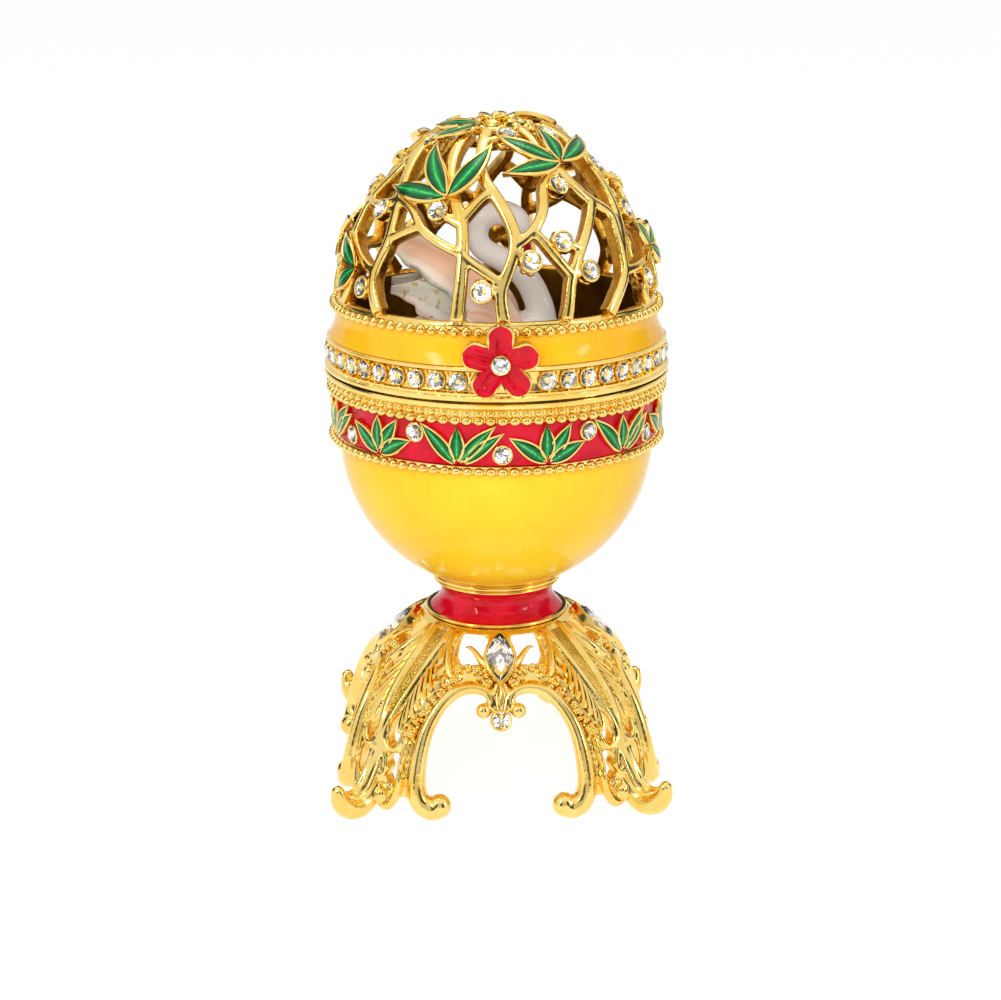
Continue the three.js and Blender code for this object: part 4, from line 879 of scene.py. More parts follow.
petalTrays, petalFills = [], []
for angle, length, width in petalShapes:
    turn = math.radians(angle)
    along, side = (math.cos(turn), math.sin(turn)), (-math.sin(turn), math.cos(turn))
    tray, fill = [], []
    for t, share in alongCurve(petalOutline, 3):
        reach = blend(flower["start"], length, t)
        wide = max(width / 2 * share, 0.1)
        rim = flower["rim"] * min(max((t - 0.2) / 0.25, 0.0), 1.0)   # no rim between the petals
        inner = max(wide - rim, 0.03)
        near, far = blend(inner, wide, 0.15), blend(inner, wide, 0.85)
        left, right = petalLift(t, -1, turn), petalLift(t, 1, turn)

        def section(pairs):
            return [onFlower(along[0] * reach + side[0] * s, along[1] * reach + side[1] * s, h)
                    for s, h in pairs]

        rise = [(wide, 0.3), (far, 0.55), (near, 0.55), (inner, 0.1)]   # the rim, as shares of its width
        tray.append(section([
            (-wide, 0.1), *[(-s, left + rim * h) for s, h in rise], (-inner * 0.9, left - 1.0),
            (inner * 0.9, right - 1.0), *[(s, right + rim * h) for s, h in reversed(rise)], (wide, 0.1)]))
        folds = [(s * inner, petalLift(t, s, turn) + 0.04) for s in (-1 + j / 8 for j in range(17))]
        fill.append(section(folds + [(inner * 0.8, right - 1.1), (-inner * 0.8, left - 1.1)]))
    petalTrays.append(loft(tray))
    petalFills.append(loft(fill[:-1]))
flowerOut = Vector((0, -1, 0))
flowerSeat = onFlower(0, 0, 2.2)
flowerCup = stoneCup(flowerSeat, flowerOut, flower["stoneR"], 2.1, 0.25, 0.26)
petalBack = revolved([(0.05, 0.05), (3.0, 0.05), (3.0, 0.25), (0.05, 0.4)], 30, onFlower(0, 0, 0), flowerOut)
addPiece("flowerGold", gather(petalTrays + [flowerCup, petalBack]), gold, "lid", ["clasp_flower"])
addPiece("flowerEnamel", gather(petalFills), redEnamel, "lid", ["flower_enamel"], 70)
flowerStone = cutStone(flowerSeat + flowerOut * 0.05, flowerOut, flower["stoneR"], flower["stoneDepth"])
stonePiece("flowerStone", [flowerStone], "lid", ["flower_stone"])

# The gold pad that carries the flower, across the band and the cove, with small cast grains on it.
pad = {"front": 29.98, "back": 28.6, "half": 4.3, "curveR": 30.0, "z": 77.0, "height": 9.2, "bevel": 0.12}
padOutline = [(-1, 0), (1, 0), (1, 0.45), (0.75, 0.62), (0.45, 1.0), (-0.45, 1.0), (-0.75, 0.62), (-1, 0.45)]
padGrains = [(0.4, 0.8), (1.1, 0.6), (-0.3, 1.5), (0.8, 1.6), (-0.9, 0.7), (0.1, 2.3), (-3.6, 1.0),
             (3.6, 1.0), (-3.7, 2.2), (3.7, 2.2), (-3.7, 3.2), (3.7, 3.2)]
padRings = [[Vector((pad["half"] * s, (pad["half"] * s) ** 2 / (2 * pad["curveR"]) - depth,
                     pad["z"] + pad["height"] * t)) for s, t in padOutline]
            for depth in (pad["back"], pad["front"] - pad["bevel"], pad["front"])]
grains = [ball(Vector((x, -pad["front"] - 0.05, pad["z"] + z)), 0.32, flowerOut, 0.7, 8, 5)
          for x, z in padGrains]
addPiece("flowerPad", gather([loft(padRings)] + grains), gold, "lid", bevel=pad["bevel"])
print("clasp flower made")

# The stand: a domed skirt, round at the collar and a rounded square at the feet, with four arches
# and four legs. Everything is drawn for the arch that faces the clasp and repeated.
stand = {"half": 27.0, "height": 30.0, "crown": 4.0, "square": 0.53, "wall": 2.0, "bottom": 3.6,
         "top": 29.75, "span": 46.0, "grain": 0.28}


def standHalf(z):
    return stand["half"] * math.sqrt(max(1 - (z / (stand["height"] + stand["crown"])) ** 2, 0.0))


def standRadius(azimuth, z):
    turn = math.radians(azimuth)
    low = min(max((stand["height"] - z) / (stand["height"] * stand["square"]), 0.0), 1.0)
    power = 2 + 2 * low * low * (3 - 2 * low)   # 2 is a circle, 4 a rounded square
    return standHalf(z) / (abs(math.cos(turn)) ** power + abs(math.sin(turn)) ** power) ** (1 / power)


def onStand(azimuth, z, lift=0.0):
    return polar(azimuth, standRadius(azimuth, z) + lift, z)


def standNormal(point):
    azimuth, z = math.degrees(math.atan2(point.x, -point.y)), min(max(point.z, 1.0), 29.6)
    level = onStand(azimuth + 0.4, z) - onStand(azimuth - 0.4, z)
    return level.cross(onStand(azimuth, z + 0.2) - onStand(azimuth, z - 0.2)).normalized()


def besideArch(across, z):
    # azimuth of a place at this distance from the arch's middle
    azimuth = 0.0
    for _ in range(8):
        azimuth = math.degrees(math.asin(min(across / standRadius(azimuth, z), 1.0)))
    return azimuth


def besideSpine(across, z):
    return 45 + math.degrees(math.asin(across / standRadius(45, z)))


def laid(points, toAzimuth, lift, perSpan, sides, squash=1.0):
    # A rod lying on the skirt through (place, z, radius).
    line = alongCurve(points, perSpan)
    return tube([onStand(toAzimuth(x, z), z, lift) for x, z, _ in line], [r for _, _, r in line],
                standNormal, sides, squash)


def knob(place, z, radius, toAzimuth, lift):
    centre = onStand(toAzimuth(place, z), z, lift)
    return ball(centre, radius, standNormal(centre), 1.0, 16, 10)


def asIs(azimuth, z):
    return azimuth


def bothSides(shapes):
    return shapes + [mirrored(shape) for shape in shapes]


def fourTimes(shapes):
    return gather([turnedBy(shape, quarter) for quarter in (0, 90, 180, 270) for shape in shapes])


# Openings of one side, as (mm from the arch's middle, z) or (azimuth, z).
archEdge = [(0.0, 20.5), (2.4, 21.2), (5.0, 21.9), (7.8, 21.2), (10.6, 19.0), (12.9, 15.6), (14.2, 11.6),
            (14.9, 7.4), (15.2, 3.8), (15.4, -3.0)]
crestEdge = [(2.0, 28.8), (4.2, 29.0), (6.5, 28.8), (7.5, 27.4), (7.9, 25.6), (7.0, 24.6), (5.2, 24.7),
             (3.8, 25.0), (2.8, 25.2), (2.5, 26.6)]
ovalWindow = [(39.8, 17.6), (41.5, 16.4), (42.3, 14.8), (41.9, 13.2), (40.6, 12.2), (39.2, 12.1),
              (37.9, 12.8), (37.2, 14.2), (37.7, 15.9), (38.8, 17.1)]
footWindow = [(36.6, 11.0), (38.4, 11.1), (40.2, 10.6), (40.6, 9.5), (39.4, 8.8), (39.3, 8.2), (40.2, 7.3),
              (39.4, 6.5), (38.9, 6.0), (37.6, 5.6), (36.4, 6.2), (35.8, 8.4)]


def inside(x, y, outline):
    # counts the edges to the right of the point
    found = False
    for (x0, y0), (x1, y1) in zip(outline, outline[1:] + outline[:1]):
        if (y0 > y) != (y1 > y) and x < (x1 - x0) * (y - y0) / (y1 - y0) + x0:
            found = not found
    return found


def pierced(outlines, span, low, high):
    # A wall on the skirt with holes: a flat net of triangles, bent outwards and thickened.
    flat, edges = [], []
    for outline in outlines:
        start = len(flat)
        flat += outline
        edges += [(start + i, start + (i + 1) % len(outline)) for i in range(len(outline))]
    columns, rows, stagger = 46, 28, 0.37
    for i in range(columns + 1):
        for j in range(rows + 1):
            flat.append((blend(-span, span, i / columns) + (stagger if j % 2 and 0 < i < columns else 0.0),
                         blend(low, high, j / rows)))
    found = delaunay_2d_cdt([Vector(p) for p in flat], edges, [], 0, 1e-4)
    net, triangles = found[0], found[2]
    kept = []
    for triangle in triangles:
        x, y = sum((net[i] for i in triangle), Vector((0, 0))) / 3
        if low < y < high and not any(inside(x, y, outline) for outline in outlines):
            kept.append(list(triangle))
    count = len(net)
    corners = [onStand(x, z) for x, z in net] + [onStand(x, z, -stand["wall"]) for x, z in net]
    faces = kept + [[i + count for i in reversed(face)] for face in kept]
    used = {}
    for face in kept:
        for a, b in zip(face, face[1:] + face[:1]):
            used[(a, b)] = used.get((a, b), 0) + 1
    for a, b in used:
        if (b, a) not in used:
            faces.append([b, a, a + count, b + count])
    return corners, faces


def finer(outline):
    return [tuple(p) for p in alongCurve(outline + [outline[0]], 3)[:-1]]


right = [(besideArch(x, z), z) for x, z in alongCurve(archEdge, 3)]
arch = right + [(-x, z) for x, z in reversed(right[1:])]
holes = [[(besideArch(x, z), z) for x, z in finer(crestEdge)], finer(ovalWindow), finer(footWindow)]
outlines = [arch] + holes + [[(-x, z) for x, z in hole] for hole in holes]
skirt = pierced(outlines, stand["span"], stand["bottom"], stand["top"])

# The big scroll beside each arch, from its curl by the pendant stone to the curled inner foot.
scrollPath = [(2.95, 18.5, 0.95), (1.8, 19.3, 0.8), (1.75, 20.6, 0.85), (2.9, 21.6, 0.95), (5.0, 21.95, 1.05),
              (7.7, 21.3, 1.12), (10.4, 19.2, 1.2), (12.6, 15.9, 1.3), (13.8, 12.2, 1.4), (14.5, 8.2, 1.55),
              (14.6, 5.2, 1.75), (13.8, 3.0, 1.9), (12.1, 2.05, 1.98), (10.9, 2.45, 2.0)]
castings = [laid(scrollPath, besideArch, 0.35, 4, 14, 1.12), knob(3.0, 18.6, 1.4, besideArch, 0.55),
            knob(10.7, 2.7, 2.15, besideArch, 0.45)]

# The spine of a leg: two smooth ridges with a sunk band between them, then a leaf, then the hooked
# foot with a flute along each side. The foot's lines are (radius out, z, thickness).
ridge = [(1.95, 29.3, 0.62), (1.95, 27.0, 0.66), (1.85, 24.0, 0.7), (1.6, 20.5, 0.68), (1.15, 17.6, 0.62),
         (0.7, 15.2, 0.6), (0.55, 12.5, 0.5), (0.3, 10.0, 0.35)]
for side in (-1, 1):
    castings.append(laid([(side * x, z, r) for x, z, r in ridge], besideSpine, 0.25, 3, 10, 0.85))
footPath = [(30.3, 10.0, 1.2), (31.4, 6.6, 1.7), (32.8, 3.9, 2.05), (35.2, 2.2, 2.15), (37.8, 2.5, 2.05),
            (39.5, 4.1, 1.7), (40.1, 6.0, 1.2)]
flutePath = [(30.9, 10.2, 0.5), (32.6, 7.2, 0.6), (34.3, 5.0, 0.6), (36.3, 4.3, 0.5), (37.9, 5.0, 0.35)]
for path, across, sides, squash in ((footPath, 0, 14, 1.15), (flutePath, -1.15, 8, 1.0),
                                    (flutePath, 1.15, 8, 1.0)):
    line = alongCurve(path, 4)
    castings.append(tube([polar(45, r, z) + polar(135, across, 0) for r, z, _ in line],
                         [w for _, _, w in line], lambda centre: polar(135, 1, 0), sides, squash))

spineLeaf = {
    "top": 17.6, "bottom": 5.0, "rows": 40, "columns": 12, "ruffle": 0.09,
    # share of the way down, half width
    "half": [(0.0, 0.7), (0.16, 1.35), (0.3, 1.75), (0.48, 2.05), (0.66, 2.5), (0.8, 2.35), (0.92, 1.3),
             (1.0, 0.25)],
    # height, place across and half width of the flutes
    "flutes": [(0.62, 0.0, 0.12), (0.42, 0.5, 0.13), (0.3, 0.88, 0.1)],
}
rings = []
for i in range(spineLeaf["rows"] + 1):
    t = i / spineLeaf["rows"]
    (t0, w0), (t1, w1) = next(pair for pair in zip(spineLeaf["half"], spineLeaf["half"][1:])
                              if t <= pair[1][0] + 1e-9)
    wide = blend(w0, w1, (t - t0) / (t1 - t0)) * (1 + spineLeaf["ruffle"] * math.sin(t * 34))
    z = blend(spineLeaf["top"], spineLeaf["bottom"], t)
    base = 0.15 + 0.3 * t + 4.5 * max(t - 0.72, 0) ** 1.2
    front, back = [], []
    for j in range(-spineLeaf["columns"], spineLeaf["columns"] + 1):
        s = j / spineLeaf["columns"]
        flute = sum(high * math.exp(-((abs(s) - place) / wideness) ** 2)
                    for high, place, wideness in spineLeaf["flutes"])
        front.append(onStand(besideSpine(s * wide, z), z, base + flute * (0.5 + 0.7 * t)))
        back.append(onStand(besideSpine(s * wide * 0.9, z), z, base - 0.9))
    rings.append(front + back[::-1])
castings.append(loft(rings))

# Rods on the skirt through (place, z, radius), with how they are placed, lift, points per span and sides.
castings.append(knob(40.5, 4.1, 1.15, asIs, 0.7))
castings += [laid(*rod) for rod in (
    # the little scroll, with its ball, between the inner and the main foot
    ([(35.0, 7.2, 0.75), (35.6, 5.0, 0.85), (36.9, 3.2, 0.95), (38.7, 2.1, 1.0), (40.4, 2.4, 0.95),
      (41.0, 3.5, 0.8)], asIs, 0.3, 4, 10),
    # straps round the windows
    ([(39.2, 18.0, 0.42), (37.4, 16.6, 0.5), (36.5, 14.4, 0.52), (37.4, 12.4, 0.5), (39.2, 11.6, 0.5),
      (41.4, 12.0, 0.45), (42.6, 13.2, 0.3)], asIs, 0.2, 4, 8),
    ([(36.6, 15.0, 0.42), (37.8, 15.1, 0.34), (39.0, 14.6, 0.2), (39.5, 14.0, 0.08)], asIs, 0.1, 3, 8),
    ([(43.4, 14.0, 0.35), (42.6, 11.6, 0.42), (41.0, 9.8, 0.4), (40.7, 8.0, 0.45), (41.6, 6.4, 0.4)],
     asIs, 0.2, 4, 8),
    ([(34.4, 13.4, 0.5), (34.8, 11.6, 0.6), (35.3, 9.6, 0.6), (35.4, 7.6, 0.6)], asIs, 0.25, 4, 8),
    # the upright leaf between window and fan, a horn beside the marquise, and the stem to the pendant
    ([(7.2, 29.2, 0.3), (8.1, 28.2, 0.6), (8.8, 26.6, 0.8), (9.0, 25.0, 0.8), (8.6, 23.7, 0.62),
      (7.6, 23.2, 0.5), (7.0, 23.8, 0.4)], besideArch, 0.35, 4, 10),
    ([(2.2, 25.1, 0.75), (3.3, 26.0, 0.68), (4.2, 27.0, 0.56), (5.1, 27.6, 0.4), (6.0, 27.5, 0.14)],
     besideArch, 0.5, 4, 8),
    ([(0.15, 17.6, 0.55), (0.9, 19.0, 0.7), (1.0, 20.8, 0.7), (0.5, 22.4, 0.7)], besideArch, 0.4, 4, 8))]

castParts = [skirt] + bothSides(castings)
plate = [(1.85, 27.4), (9.3, 27.4), (11.0, 28.2), (12.5, 29.2), (12.68, 29.95), (1.85, 29.95)]
standMesh = castTogether("standCasting", gather([fourTimes(castParts), revolved(plate, 96)]),
                         stand["grain"], 3)
addPiece("standCasting", standMesh, gold, "base", ["stand"])
print("stand cast")

# Fans: nested feather ribs that start along the spine, run down and hook towards the arch.
fan = {"startAcross": -2.75, "startHigh": 27.9, "startLow": 19.2, "lift": 0.22,
       "ends": [(9.4, 26.2), (9.6, 24.6), (9.9, 22.9), (11.0, 21.4), (12.4, 20.0), (13.8, 18.7), (15.2, 17.5),
                (16.4, 16.4)]}
ribs = []
for i, (endX, endZ) in enumerate(fan["ends"]):
    startZ = blend(fan["startHigh"], fan["startLow"], i / (len(fan["ends"]) - 1))
    startA, endA = besideSpine(fan["startAcross"], startZ), besideArch(endX, endZ)
    lowZ = endZ - 1.25
    points = [(startA, startZ, 0.2), (blend(startA, endA, 0.18), blend(startZ, lowZ, 0.42), 0.42),
              (blend(startA, endA, 0.4), blend(startZ, lowZ, 0.84), 0.58),
              (blend(startA, endA, 0.7), lowZ - 0.2, 0.64), (blend(startA, endA, 0.93), endZ - 0.7, 0.58),
              (endA, endZ, 0.44)]
    between = [(a + 1.0, z - 0.32, r * 0.4) for a, z, r in points[1:-1]]   # a fine rib beside it
    ribs += [laid(points, asIs, fan["lift"], 4, 8, 1.15), laid(between, asIs, fan["lift"] - 0.05, 3, 6),
             knob(endA, endZ + 0.15, 0.44, asIs, fan["lift"] + 0.12)]
addPiece("standFans", fourTimes(bothSides(ribs)), gold, "base")

# Little granular leaf clumps along the arch's shoulder.
clumps = [(3.0, 23.9), (4.2, 24.5), (5.6, 24.7), (6.9, 24.5), (8.0, 23.4), (9.0, 22.4), (10.0, 21.4),
          (11.1, 20.3), (12.2, 19.1), (13.2, 17.9), (14.2, 16.7), (15.0, 15.5), (15.6, 14.3), (2.2, 22.6),
          (3.5, 22.9)]
grains = [knob(x + random.uniform(-0.62, 0.62), z + random.uniform(-0.55, 0.55), random.uniform(0.3, 0.62),
               besideArch, random.uniform(0.2, 0.55)) for x, z in clumps for _ in range(5)]
grains += [knob(azimuth + random.uniform(-0.8, 0.8), z + random.uniform(-0.4, 0.4),
                random.uniform(0.25, 0.45), asIs, 0.35)
           for azimuth, z in ((36.0, 15.9), (35.2, 14.8), (36.6, 17.0), (38.0, 17.9), (35.0, 13.6))
           for _ in range(3)]
addPiece("standGrains", fourTimes(bothSides(grains)), gold, "base")

# The sunk, stippled band between the two ridges of each spine, in a darker gold that is painted shade for the
# recess.
band = {"top": 29.0, "bottom": 17.2, "halfTop": 1.5, "halfBottom": 0.35, "rows": 26,
        "section": [(-1, -0.4), (-1, 0.16), (-0.5, 0.2), (0, 0.22), (0.5, 0.2), (1, 0.16), (1, -0.4)]}
rings = []
for i in range(band["rows"] + 1):
    t = i / band["rows"]
    z = blend(band["top"], band["bottom"], t)
    wide = blend(band["halfTop"], band["halfBottom"], t ** 1.6)
    rings.append([onStand(besideSpine(s * wide, z), z, h) for s, h in band["section"]])
addPiece("stippledBands", fourTimes([loft(rings)]), goldGroundPaintedShade, "base")

# Marquise and pendant stones of each side, with their bezels. They lean back, in degrees.
marquise = {"length": 9.0, "width": 4.7, "z": 25.95, "lean": 45.0, "lift": 0.9, "wall": 0.5}
pendant = {"z": 16.9, "lean": 18.0, "lift": 0.75, "r": 1.5, "depth": 0.34}


def pointedOval(length, width):
    found = []
    for a in (2 * math.pi * k / 24 for k in range(24)):
        y = math.cos(a)
        x = math.copysign((1 - abs(y) ** 1.75) ** 0.85, math.sin(a)) if abs(y) < 1 else 0.0
        found.append((x * width / 2, y * length / 2))
    return found


def seatOf(look):
    # the place on the arch's middle and the way the stone faces
    lean = math.radians(look["lean"])
    out = Vector((0, -math.cos(lean), math.sin(lean)))
    return Vector((0, -standHalf(look["z"]), look["z"])) + out * look["lift"], out


marquiseSeat, marquiseOut = seatOf(marquise)
marquiseUp = Vector((0, marquiseOut.z, -marquiseOut.y))


def marquiseRing(grow, height):
    return [marquiseSeat + Vector((x, 0, 0)) + marquiseUp * y + marquiseOut * height
            for x, y in pointedOval(marquise["length"] + grow * 2.6, marquise["width"] + grow * 2)]


# The bezel from its outer foot over a double lip and down inside, as (walls outwards, height).
bezelRings = [marquiseRing(marquise["wall"] * walls, height) for walls, height in (
    (1.3, -1.6), (1.35, 0.0), (1.15, 0.3), (0.85, 0.34), (0.7, 0.18), (0.55, 0.34), (0.2, 0.36), (0.04, 0.2),
    (-0.1, -0.2), (-0.2, -1.3))]
pendantSeat, pendantOut = seatOf(pendant)
tinyLeaf = [(0.0, 22.6, 0.25), (0.25, 21.6, 0.6), (0.1, 20.4, 0.5), (-0.2, 19.2, 0.2)]   # between the two
addPiece("stoneBezels", fourTimes([
    loft(bezelRings), stoneCup(pendantSeat, pendantOut, pendant["r"], 1.9, 0.36, 0.4),
    laid(tinyLeaf, besideArch, 1.1, 4, 10, 0.7)]), gold, "base", sharp=50)

# The marquise's rings are the foiled back, the girdle, the crown and the table.
stoneRings = [marquiseRing(*ring) for ring in ((-1.0, -0.55), (-0.02, 0.1), (-0.45, 0.62), (-0.95, 1.0))]
pendantShape, crownCount = cutStone(pendantSeat, pendantOut, pendant["r"], pendant["depth"])
for quarter in range(4):
    number = str(quarter + 1)
    stone = addPiece("marquiseStone" + number, turnedBy(loft(stoneRings), 90 * quarter), [crystal, foil],
                     "base", ["marquise_stone_" + number], sharp=8)
    sides = stone.data.polygons
    for i in [*range(len(stoneRings[0])), len(sides) - 2]:
        sides[i].material_index = 1
    stonePiece("pendantStone" + number, [(turnedBy(pendantShape, 90 * quarter), crownCount)], "base",
               ["pendant_stone_" + number])
print("stand finished")

# The swan inside, swimming towards +X: a hollow casting, enamelled, on a small gold post.
swan = {
    "water": 70.0, "length": 27.0, "width": 13.0, "height": 14.0, "neckR": 2.35,
    "wingRoom": 7.9,      # from the middle to a wing at the wings' height
    "wingLean": -0.3,     # the wings lean inwards
    "wingMiddle": 0.57,   # the height at which they don't, as a share of the swan's
    "scallop": 0.08,
    "postFoot": 40.7,
}


def swanPoint(x, z, y=0.0):
    return Vector((x * swan["length"], y, swan["water"] + z * swan["length"]))


# x, lift, width and height of the hull's rings, as shares
hull = alongCurve([
    (-0.54, 0.42, 0.05, 0.05), (-0.5, 0.375, 0.2, 0.18), (-0.4, 0.28, 0.52, 0.47), (-0.2, 0.12, 0.88, 0.8),
    (0.08, 0.04, 1.0, 1.0), (0.28, 0.1, 0.86, 0.9), (0.42, 0.22, 0.45, 0.55), (0.47, 0.29, 0.15, 0.2)], 4)
hullRings = [[Vector(((x - 0.055) * swan["length"], math.cos(a) * w * swan["width"] / 2,
                      swan["water"] + swan["height"] * (0.5 + lift + h * math.sin(a) / 2)))
              for a in (2 * math.pi * k / 36 for k in range(36))] for x, lift, w, h in hull]

# The neck's line and thickness, from the breast up round the bend and down to the beak
neck = alongCurve([
    (0.19, 0.24, 1.7), (0.235, 0.33, 1.42), (0.296, 0.481, 1.14), (0.259, 0.64, 1.04),
    (0.174, 0.785, 0.98), (0.037, 0.885, 0.92), (-0.09, 0.96, 0.88), (-0.128, 1.06, 0.86),
    (-0.08, 1.155, 0.86), (0.03, 1.195, 0.92), (0.12, 1.15, 0.98), (0.163, 1.09, 0.8), (0.18, 1.05, 0.5)], 5)
neckTube = tube([swanPoint(x, z) for x, z, _ in neck], [r * swan["neckR"] for _, _, r in neck],
                lambda p: Vector((0, 1, 0)), 20, 0.96)
swanBody = castTogether("swanBody", gather([loft(hullRings), neckTube]), 0.34, 9)
addPiece("swanBody", swanBody, swanEnamelPaintedLight, "base", ["swan_body"], sharp=80)

beak = alongCurve([(0.158, 1.1, 0.72), (0.176, 1.04, 0.5), (0.195, 0.985, 0.36), (0.207, 0.95, 0.2)], 5)
addPiece("swanBeak", tube([swanPoint(x, z) for x, z, _ in beak], [r * swan["neckR"] for _, _, r in beak],
                          lambda p: Vector((0, 1, 0)), 16, 0.8), redEnamel, "base", ())
eyes = [ball(swanPoint(0.118, 1.165, y * 1.98), 0.34, Vector((0.2, y, 0.1)), 0.5, 12, 6)
        for y in (-1, 1)]
addPiece("swanEyes", gather(eyes), eyeEnamel, "base", ())

# Feathers: x, z, half width and half thickness along the middle of each. The first is the
# peach one on top; the mottled one hangs out behind and below it, and the last is a short cover.
feathers = {
    "Upper": {"out": 0.9, "finish": wingEnamelPaintedShadeAndGlints, "line": [
        (0.12, 0.38, 1.8, 0.7), (0.03, 0.52, 3.3, 1.05), (-0.1, 0.66, 3.7, 1.15), (-0.25, 0.79, 3.5, 1.05),
        (-0.4, 0.895, 3.15, 0.9), (-0.5, 0.955, 2.9, 0.7), (-0.58, 0.99, 2.5, 0.5),
        (-0.635, 1.01, 1.5, 0.35), (-0.655, 1.015, 0.5, 0.2)]},
    "Lower": {"out": 0.0, "finish": mottledEnamel, "line": [
        (0.02, 0.33, 1.4, 0.5), (-0.12, 0.45, 3.1, 0.85), (-0.26, 0.57, 3.9, 0.95), (-0.38, 0.645, 3.7, 0.85),
        (-0.48, 0.69, 3.1, 0.7), (-0.54, 0.705, 2.0, 0.5), (-0.61, 0.715, 1.3, 0.4),
        (-0.685, 0.725, 0.7, 0.3)]},
    "Cover": {"out": 1.6, "finish": wingEnamelPaintedShadeAndGlints, "line": [
        (0.14, 0.33, 1.0, 0.5), (0.08, 0.42, 2.6, 0.8), (-0.02, 0.5, 2.9, 0.9), (-0.12, 0.55, 2.2, 0.7),
        (-0.2, 0.57, 0.8, 0.4)]},
}


def featherShape(line, out, side):
    # A blade with a crowned back and two soft grooves; "across" runs from 0 at its lower edge to 1.
    path = alongCurve([(x * swan["length"], swan["water"] + z * swan["length"], w, t)
                       for x, z, w, t in line], 6)
    rings, across = [], []
    last, featherSides = len(path) - 1, 28
    for i, (x, z, wide, thick) in enumerate(path):
        before, after = path[max(i - 1, 0)], path[min(i + 1, last)]
        run = math.hypot(after[0] - before[0], after[1] - before[1])
        level, upward = -(after[1] - before[1]) / run, (after[0] - before[0]) / run
        if upward > 0:
            level, upward = -level, -upward
        ring = []
        for k in range(featherSides):
            a = 2 * math.pi * k / featherSides
            share = math.cos(a)
            bulge = math.sin(a) * thick * (1 + 0.24 * math.cos(3 * math.pi * share))
            reach = wide * (1 + swan["scallop"] * math.sin(0.62 * i) * max(-share, 0.0))
            px, pz = x - level * share * reach, z - upward * share * reach
            rise = pz - swan["water"] - swan["height"] * swan["wingMiddle"]
            away = swan["wingRoom"] + out + rise * swan["wingLean"] + bulge
            ring.append(Vector((px, side * away, pz)))
            across.append(0.5 + 0.5 * share)
        rings.append(ring)
    return loft(rings), across


for side, hand in ((-1, "Right"), (1, "Left")):
    for kind, feather in feathers.items():
        shape, across = featherShape(feather["line"], feather["out"], side)
        stands = ["swan_wing_" + hand.lower()] if kind == "Upper" else []
        addPiece("swanWing" + kind + hand, shape, feather["finish"], "base", stands,
                 sharp=80, marks={"across": across})

postTop = swan["water"] + swan["height"] * 0.04 - 0.3
postFootLine = [(0.05, 0), (6.4, 0), (6.6, 0.3), (6.5, 0.9), (5.6, 1.4), (3.4, 2.0), (2.5, 3.0), (2.2, 5.0)]
postTopLine = [(2.0, -3.0), (2.2, -1.8), (2.9, -0.8), (3.3, -0.2), (3.2, 0), (0.05, 0)]
postProfile = [(r, swan["postFoot"] + h) for r, h in postFootLine]
postProfile += [(r, postTop + h) for r, h in postTopLine]
addPiece("swanPost", revolved(postProfile, 48), gold, "base", ["swan_post"])
print("swan made")

# The hinge and the screw are right as they are.
carried = {"hinge_leaf_base": gold, "hinge_leaf_lid": gold, "hinge_pin": gold,
           "stand_screw": steel, "screw_washer": steel}
for node, finish in carried.items():
    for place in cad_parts[node].material_slots:
        place.material = finish

# Disc magnets, sunk flush in the rim and in the lid's band behind the flower
magnet = {"r": 1.0, "height": 1.5, "bevel": 0.12, "away": 28.55, "base": 73.5, "lid": 75.6}
r, top, bevel = magnet["r"], magnet["height"], magnet["bevel"]
for body in ("base", "lid"):
    disc = revolved([(0.03, 0.0), (r - bevel, 0.0), (r, bevel), (r, top - bevel), (r - bevel, top),
                     (0.03, top)], 32, Vector((0, -magnet["away"], magnet[body])), Vector((0, 0, 1)))
    addPiece(body + "Magnet", disc, steel, body, [body + "_magnet"])
print("hinge, screw and magnets finished")

# Table, tent, light and camera. Sizes and places of the lamps and the tent are in metres.
studio = {
    "worldLight": 0.46,
    "tableGlow": 0.85,     # what the table gives off to the camera and to the metal
    "tableSeen": 0.3,      # the share of its own shading that it keeps there, for the object's shadow
    "tableReach": 6.0,
    "tentR": 0.8, "tentLow": 0.02, "tentHigh": 0.75, "tentPanels": 48,
    "tentDark": 0.05, "tentPale": 0.94,
}
lamps = {
    "keyBox": {"place": (-0.45, -0.4, 0.5), "size": (0.08, 0.3), "power": 0.9},
    "fillBox": {"place": (0.55, -0.3, 0.3), "size": (0.06, 0.26), "power": 0.45},
    "topBox": {"place": (0.0, 0.1, 0.7), "size": (0.3, 0.3), "power": 0.8},
    "frontBox": {"place": (-0.08, -0.8, 0.38), "size": (0.4, 0.3), "power": 4.0},
}
lampAim = Vector((0, 0, 0.06))
view = {
    "distance": 400.0,   # mm from the egg's axis at aimHeight
    "aimHeight": 60.0, "elevation": 14.95, "azimuth": -2.0,
    "lens": 80.3, "shiftX": 0.004, "shiftY": -0.0534,
}


def seenWhite(tree):
    # 1 for camera, glossy and transmission rays
    rays = addNode(tree, "ShaderNodeLightPath").outputs
    either = addNode(tree, "ShaderNodeMath", {"operation": "MAXIMUM"},
                     {0: rays["Is Camera Ray"], 1: rays["Is Glossy Ray"]})
    return addNode(tree, "ShaderNodeMath", {"operation": "MAXIMUM"},
                   {0: either, 1: rays["Is Transmission Ray"]})


def stageMesh(name, corners, faces, finish):
    mesh = bpy.data.meshes.new(name)
    mesh.from_pydata(corners, [], faces)
    mesh.materials.append(finish)
    holder = bpy.data.objects.new(name, mesh)
    bpy.context.scene.collection.objects.link(holder)
    return holder


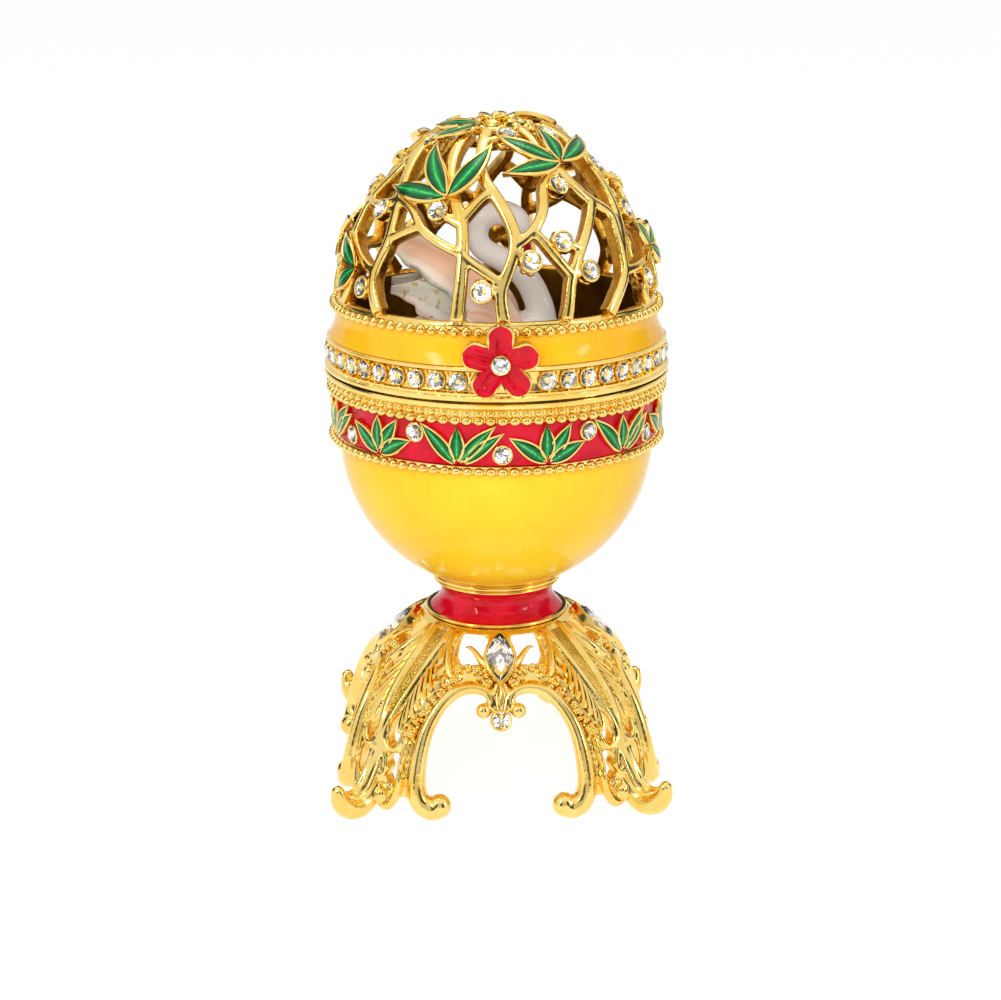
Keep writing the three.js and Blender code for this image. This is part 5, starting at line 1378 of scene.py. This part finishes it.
# The table is white paper. Seen straight or in the metal it glows, so that it stays white.
tableFinish, tree, shader = startFinish("White paper", {
    "Roughness": 0.6, "Specular IOR Level": 0.0, "Emission Color": linear("#ffffff")})
seen = seenWhite(tree)
pulp = addNode(tree, "ShaderNodeTexNoise", {"Scale": 1 / (60 * mm), "Detail": 2.0},
               {"Vector": addNode(tree, "ShaderNodeTexCoord").outputs["Object"]})
paper = addNode(tree, "ShaderNodeValToRGB", {"stops": [(0.3, "#f4f4f4"), (0.7, "#fafafa")]}, {"Fac": pulp})
faded = addNode(tree, "ShaderNodeMix", {"data_type": "RGBA", 7: (studio["tableSeen"],) * 3 + (1,)},
                {0: seen, 6: paper})
glow = addNode(tree, "ShaderNodeMath", {"operation": "MULTIPLY", 1: studio["tableGlow"]}, {0: seen})
join(tree, faded.outputs[2], shader.inputs["Base Color"])
join(tree, glow, shader.inputs["Emission Strength"])
reach = studio["tableReach"]
stageMesh("table", [(-reach, -reach, 0), (reach, -reach, 0), (reach, reach, 0), (-reach, reach, 0)],
          [(0, 1, 2, 3)], tableFinish)

# A round tent of black cloth with white windows stands outside the picture. Only polished
# surfaces see it, and it gives the gold its dark edges.
tentFinish = bpy.data.materials.new("Tent cloth")
tentFinish.use_nodes = True
tree = tentFinish.node_tree
tree.nodes.clear()
split = addNode(tree, "ShaderNodeSeparateXYZ", links={
    "Vector": addNode(tree, "ShaderNodeTexCoord").outputs["Object"]}).outputs
around = addNode(tree, "ShaderNodeMath", {"operation": "ARCTAN2"}, {0: split["X"], 1: split["Y"]})
share = addNode(tree, "ShaderNodeMapRange", {"From Min": -math.pi, "From Max": math.pi}, {"Value": around})
dark, pale = studio["tentDark"], studio["tentPale"]
windows = addNode(tree, "ShaderNodeValToRGB", {"stops": [
    (0.0, 0.7), (0.05, 0.7), (0.07, dark), (0.11, dark), (0.13, pale), (0.27, pale), (0.29, dark),
    (0.35, dark), (0.38, 0.85), (0.46, 0.85), (0.48, dark), (0.54, dark), (0.56, 0.85), (0.64, 0.85),
    (0.67, dark), (0.71, dark), (0.73, pale), (0.86, pale), (0.88, dark), (0.93, dark), (0.95, 0.7),
    (1.0, 0.7)]}, {"Fac": share})
cloth = addNode(tree, "ShaderNodeEmission", {"Strength": 1.0}, {"Color": windows})
addNode(tree, "ShaderNodeOutputMaterial", links={"Surface": cloth})
panels = studio["tentPanels"]
tent = stageMesh(
    "tent", [polar(360 * k / panels, studio["tentR"], height)
             for height in (studio["tentLow"], studio["tentHigh"]) for k in range(panels)],
    [(k, (k + 1) % panels, (k + 1) % panels + panels, k + panels) for k in range(panels)], tentFinish)
tent.visible_camera = tent.visible_diffuse = tent.visible_transmission = tent.visible_shadow = False

world = bpy.data.worlds.new("Studio")
world.use_nodes = True
bpy.context.scene.world = world
tree = world.node_tree
tree.nodes.clear()
level = addNode(tree, "ShaderNodeMapRange", {"To Min": studio["worldLight"], "To Max": 1.0},
                {"Value": seenWhite(tree)})
sky = addNode(tree, "ShaderNodeBackground", {"Color": linear("#ffffff")}, {"Strength": level})
addNode(tree, "ShaderNodeOutputWorld", links={"Surface": sky})

for name, look in lamps.items():
    lamp = bpy.data.lights.new(name, "AREA")
    lamp.shape, lamp.energy = "RECTANGLE", look["power"]
    lamp.size, lamp.size_y = look["size"]
    holder = bpy.data.objects.new(name, lamp)
    holder.location = look["place"]
    holder.rotation_euler = (lampAim - holder.location).to_track_quat("-Z", "Y").to_euler()
    holder.visible_glossy = name != "frontBox"   # that one lights the swan, with no highlight of its own
    bpy.context.scene.collection.objects.link(holder)

aim = Vector((0, 0, view["aimHeight"]))
rise = math.radians(view["elevation"])
eye = aim + polar(view["azimuth"], view["distance"] * math.cos(rise), view["distance"] * math.sin(rise))
lens = bpy.data.cameras.new("photoCamera")
lens.lens, lens.sensor_width, lens.sensor_fit = view["lens"], 36.0, "HORIZONTAL"
lens.shift_x, lens.shift_y = view["shiftX"], view["shiftY"]
lens.clip_start, lens.clip_end = 0.01, 20
camera = bpy.data.objects.new("photoCamera", lens)
camera.location = eye * mm
camera.rotation_euler = (aim - eye).to_track_quat("-Z", "Y").to_euler()
bpy.context.scene.collection.objects.link(camera)
bpy.context.scene.camera = camera
bpy.context.scene.view_settings.view_transform = "Standard"
print("stage set")
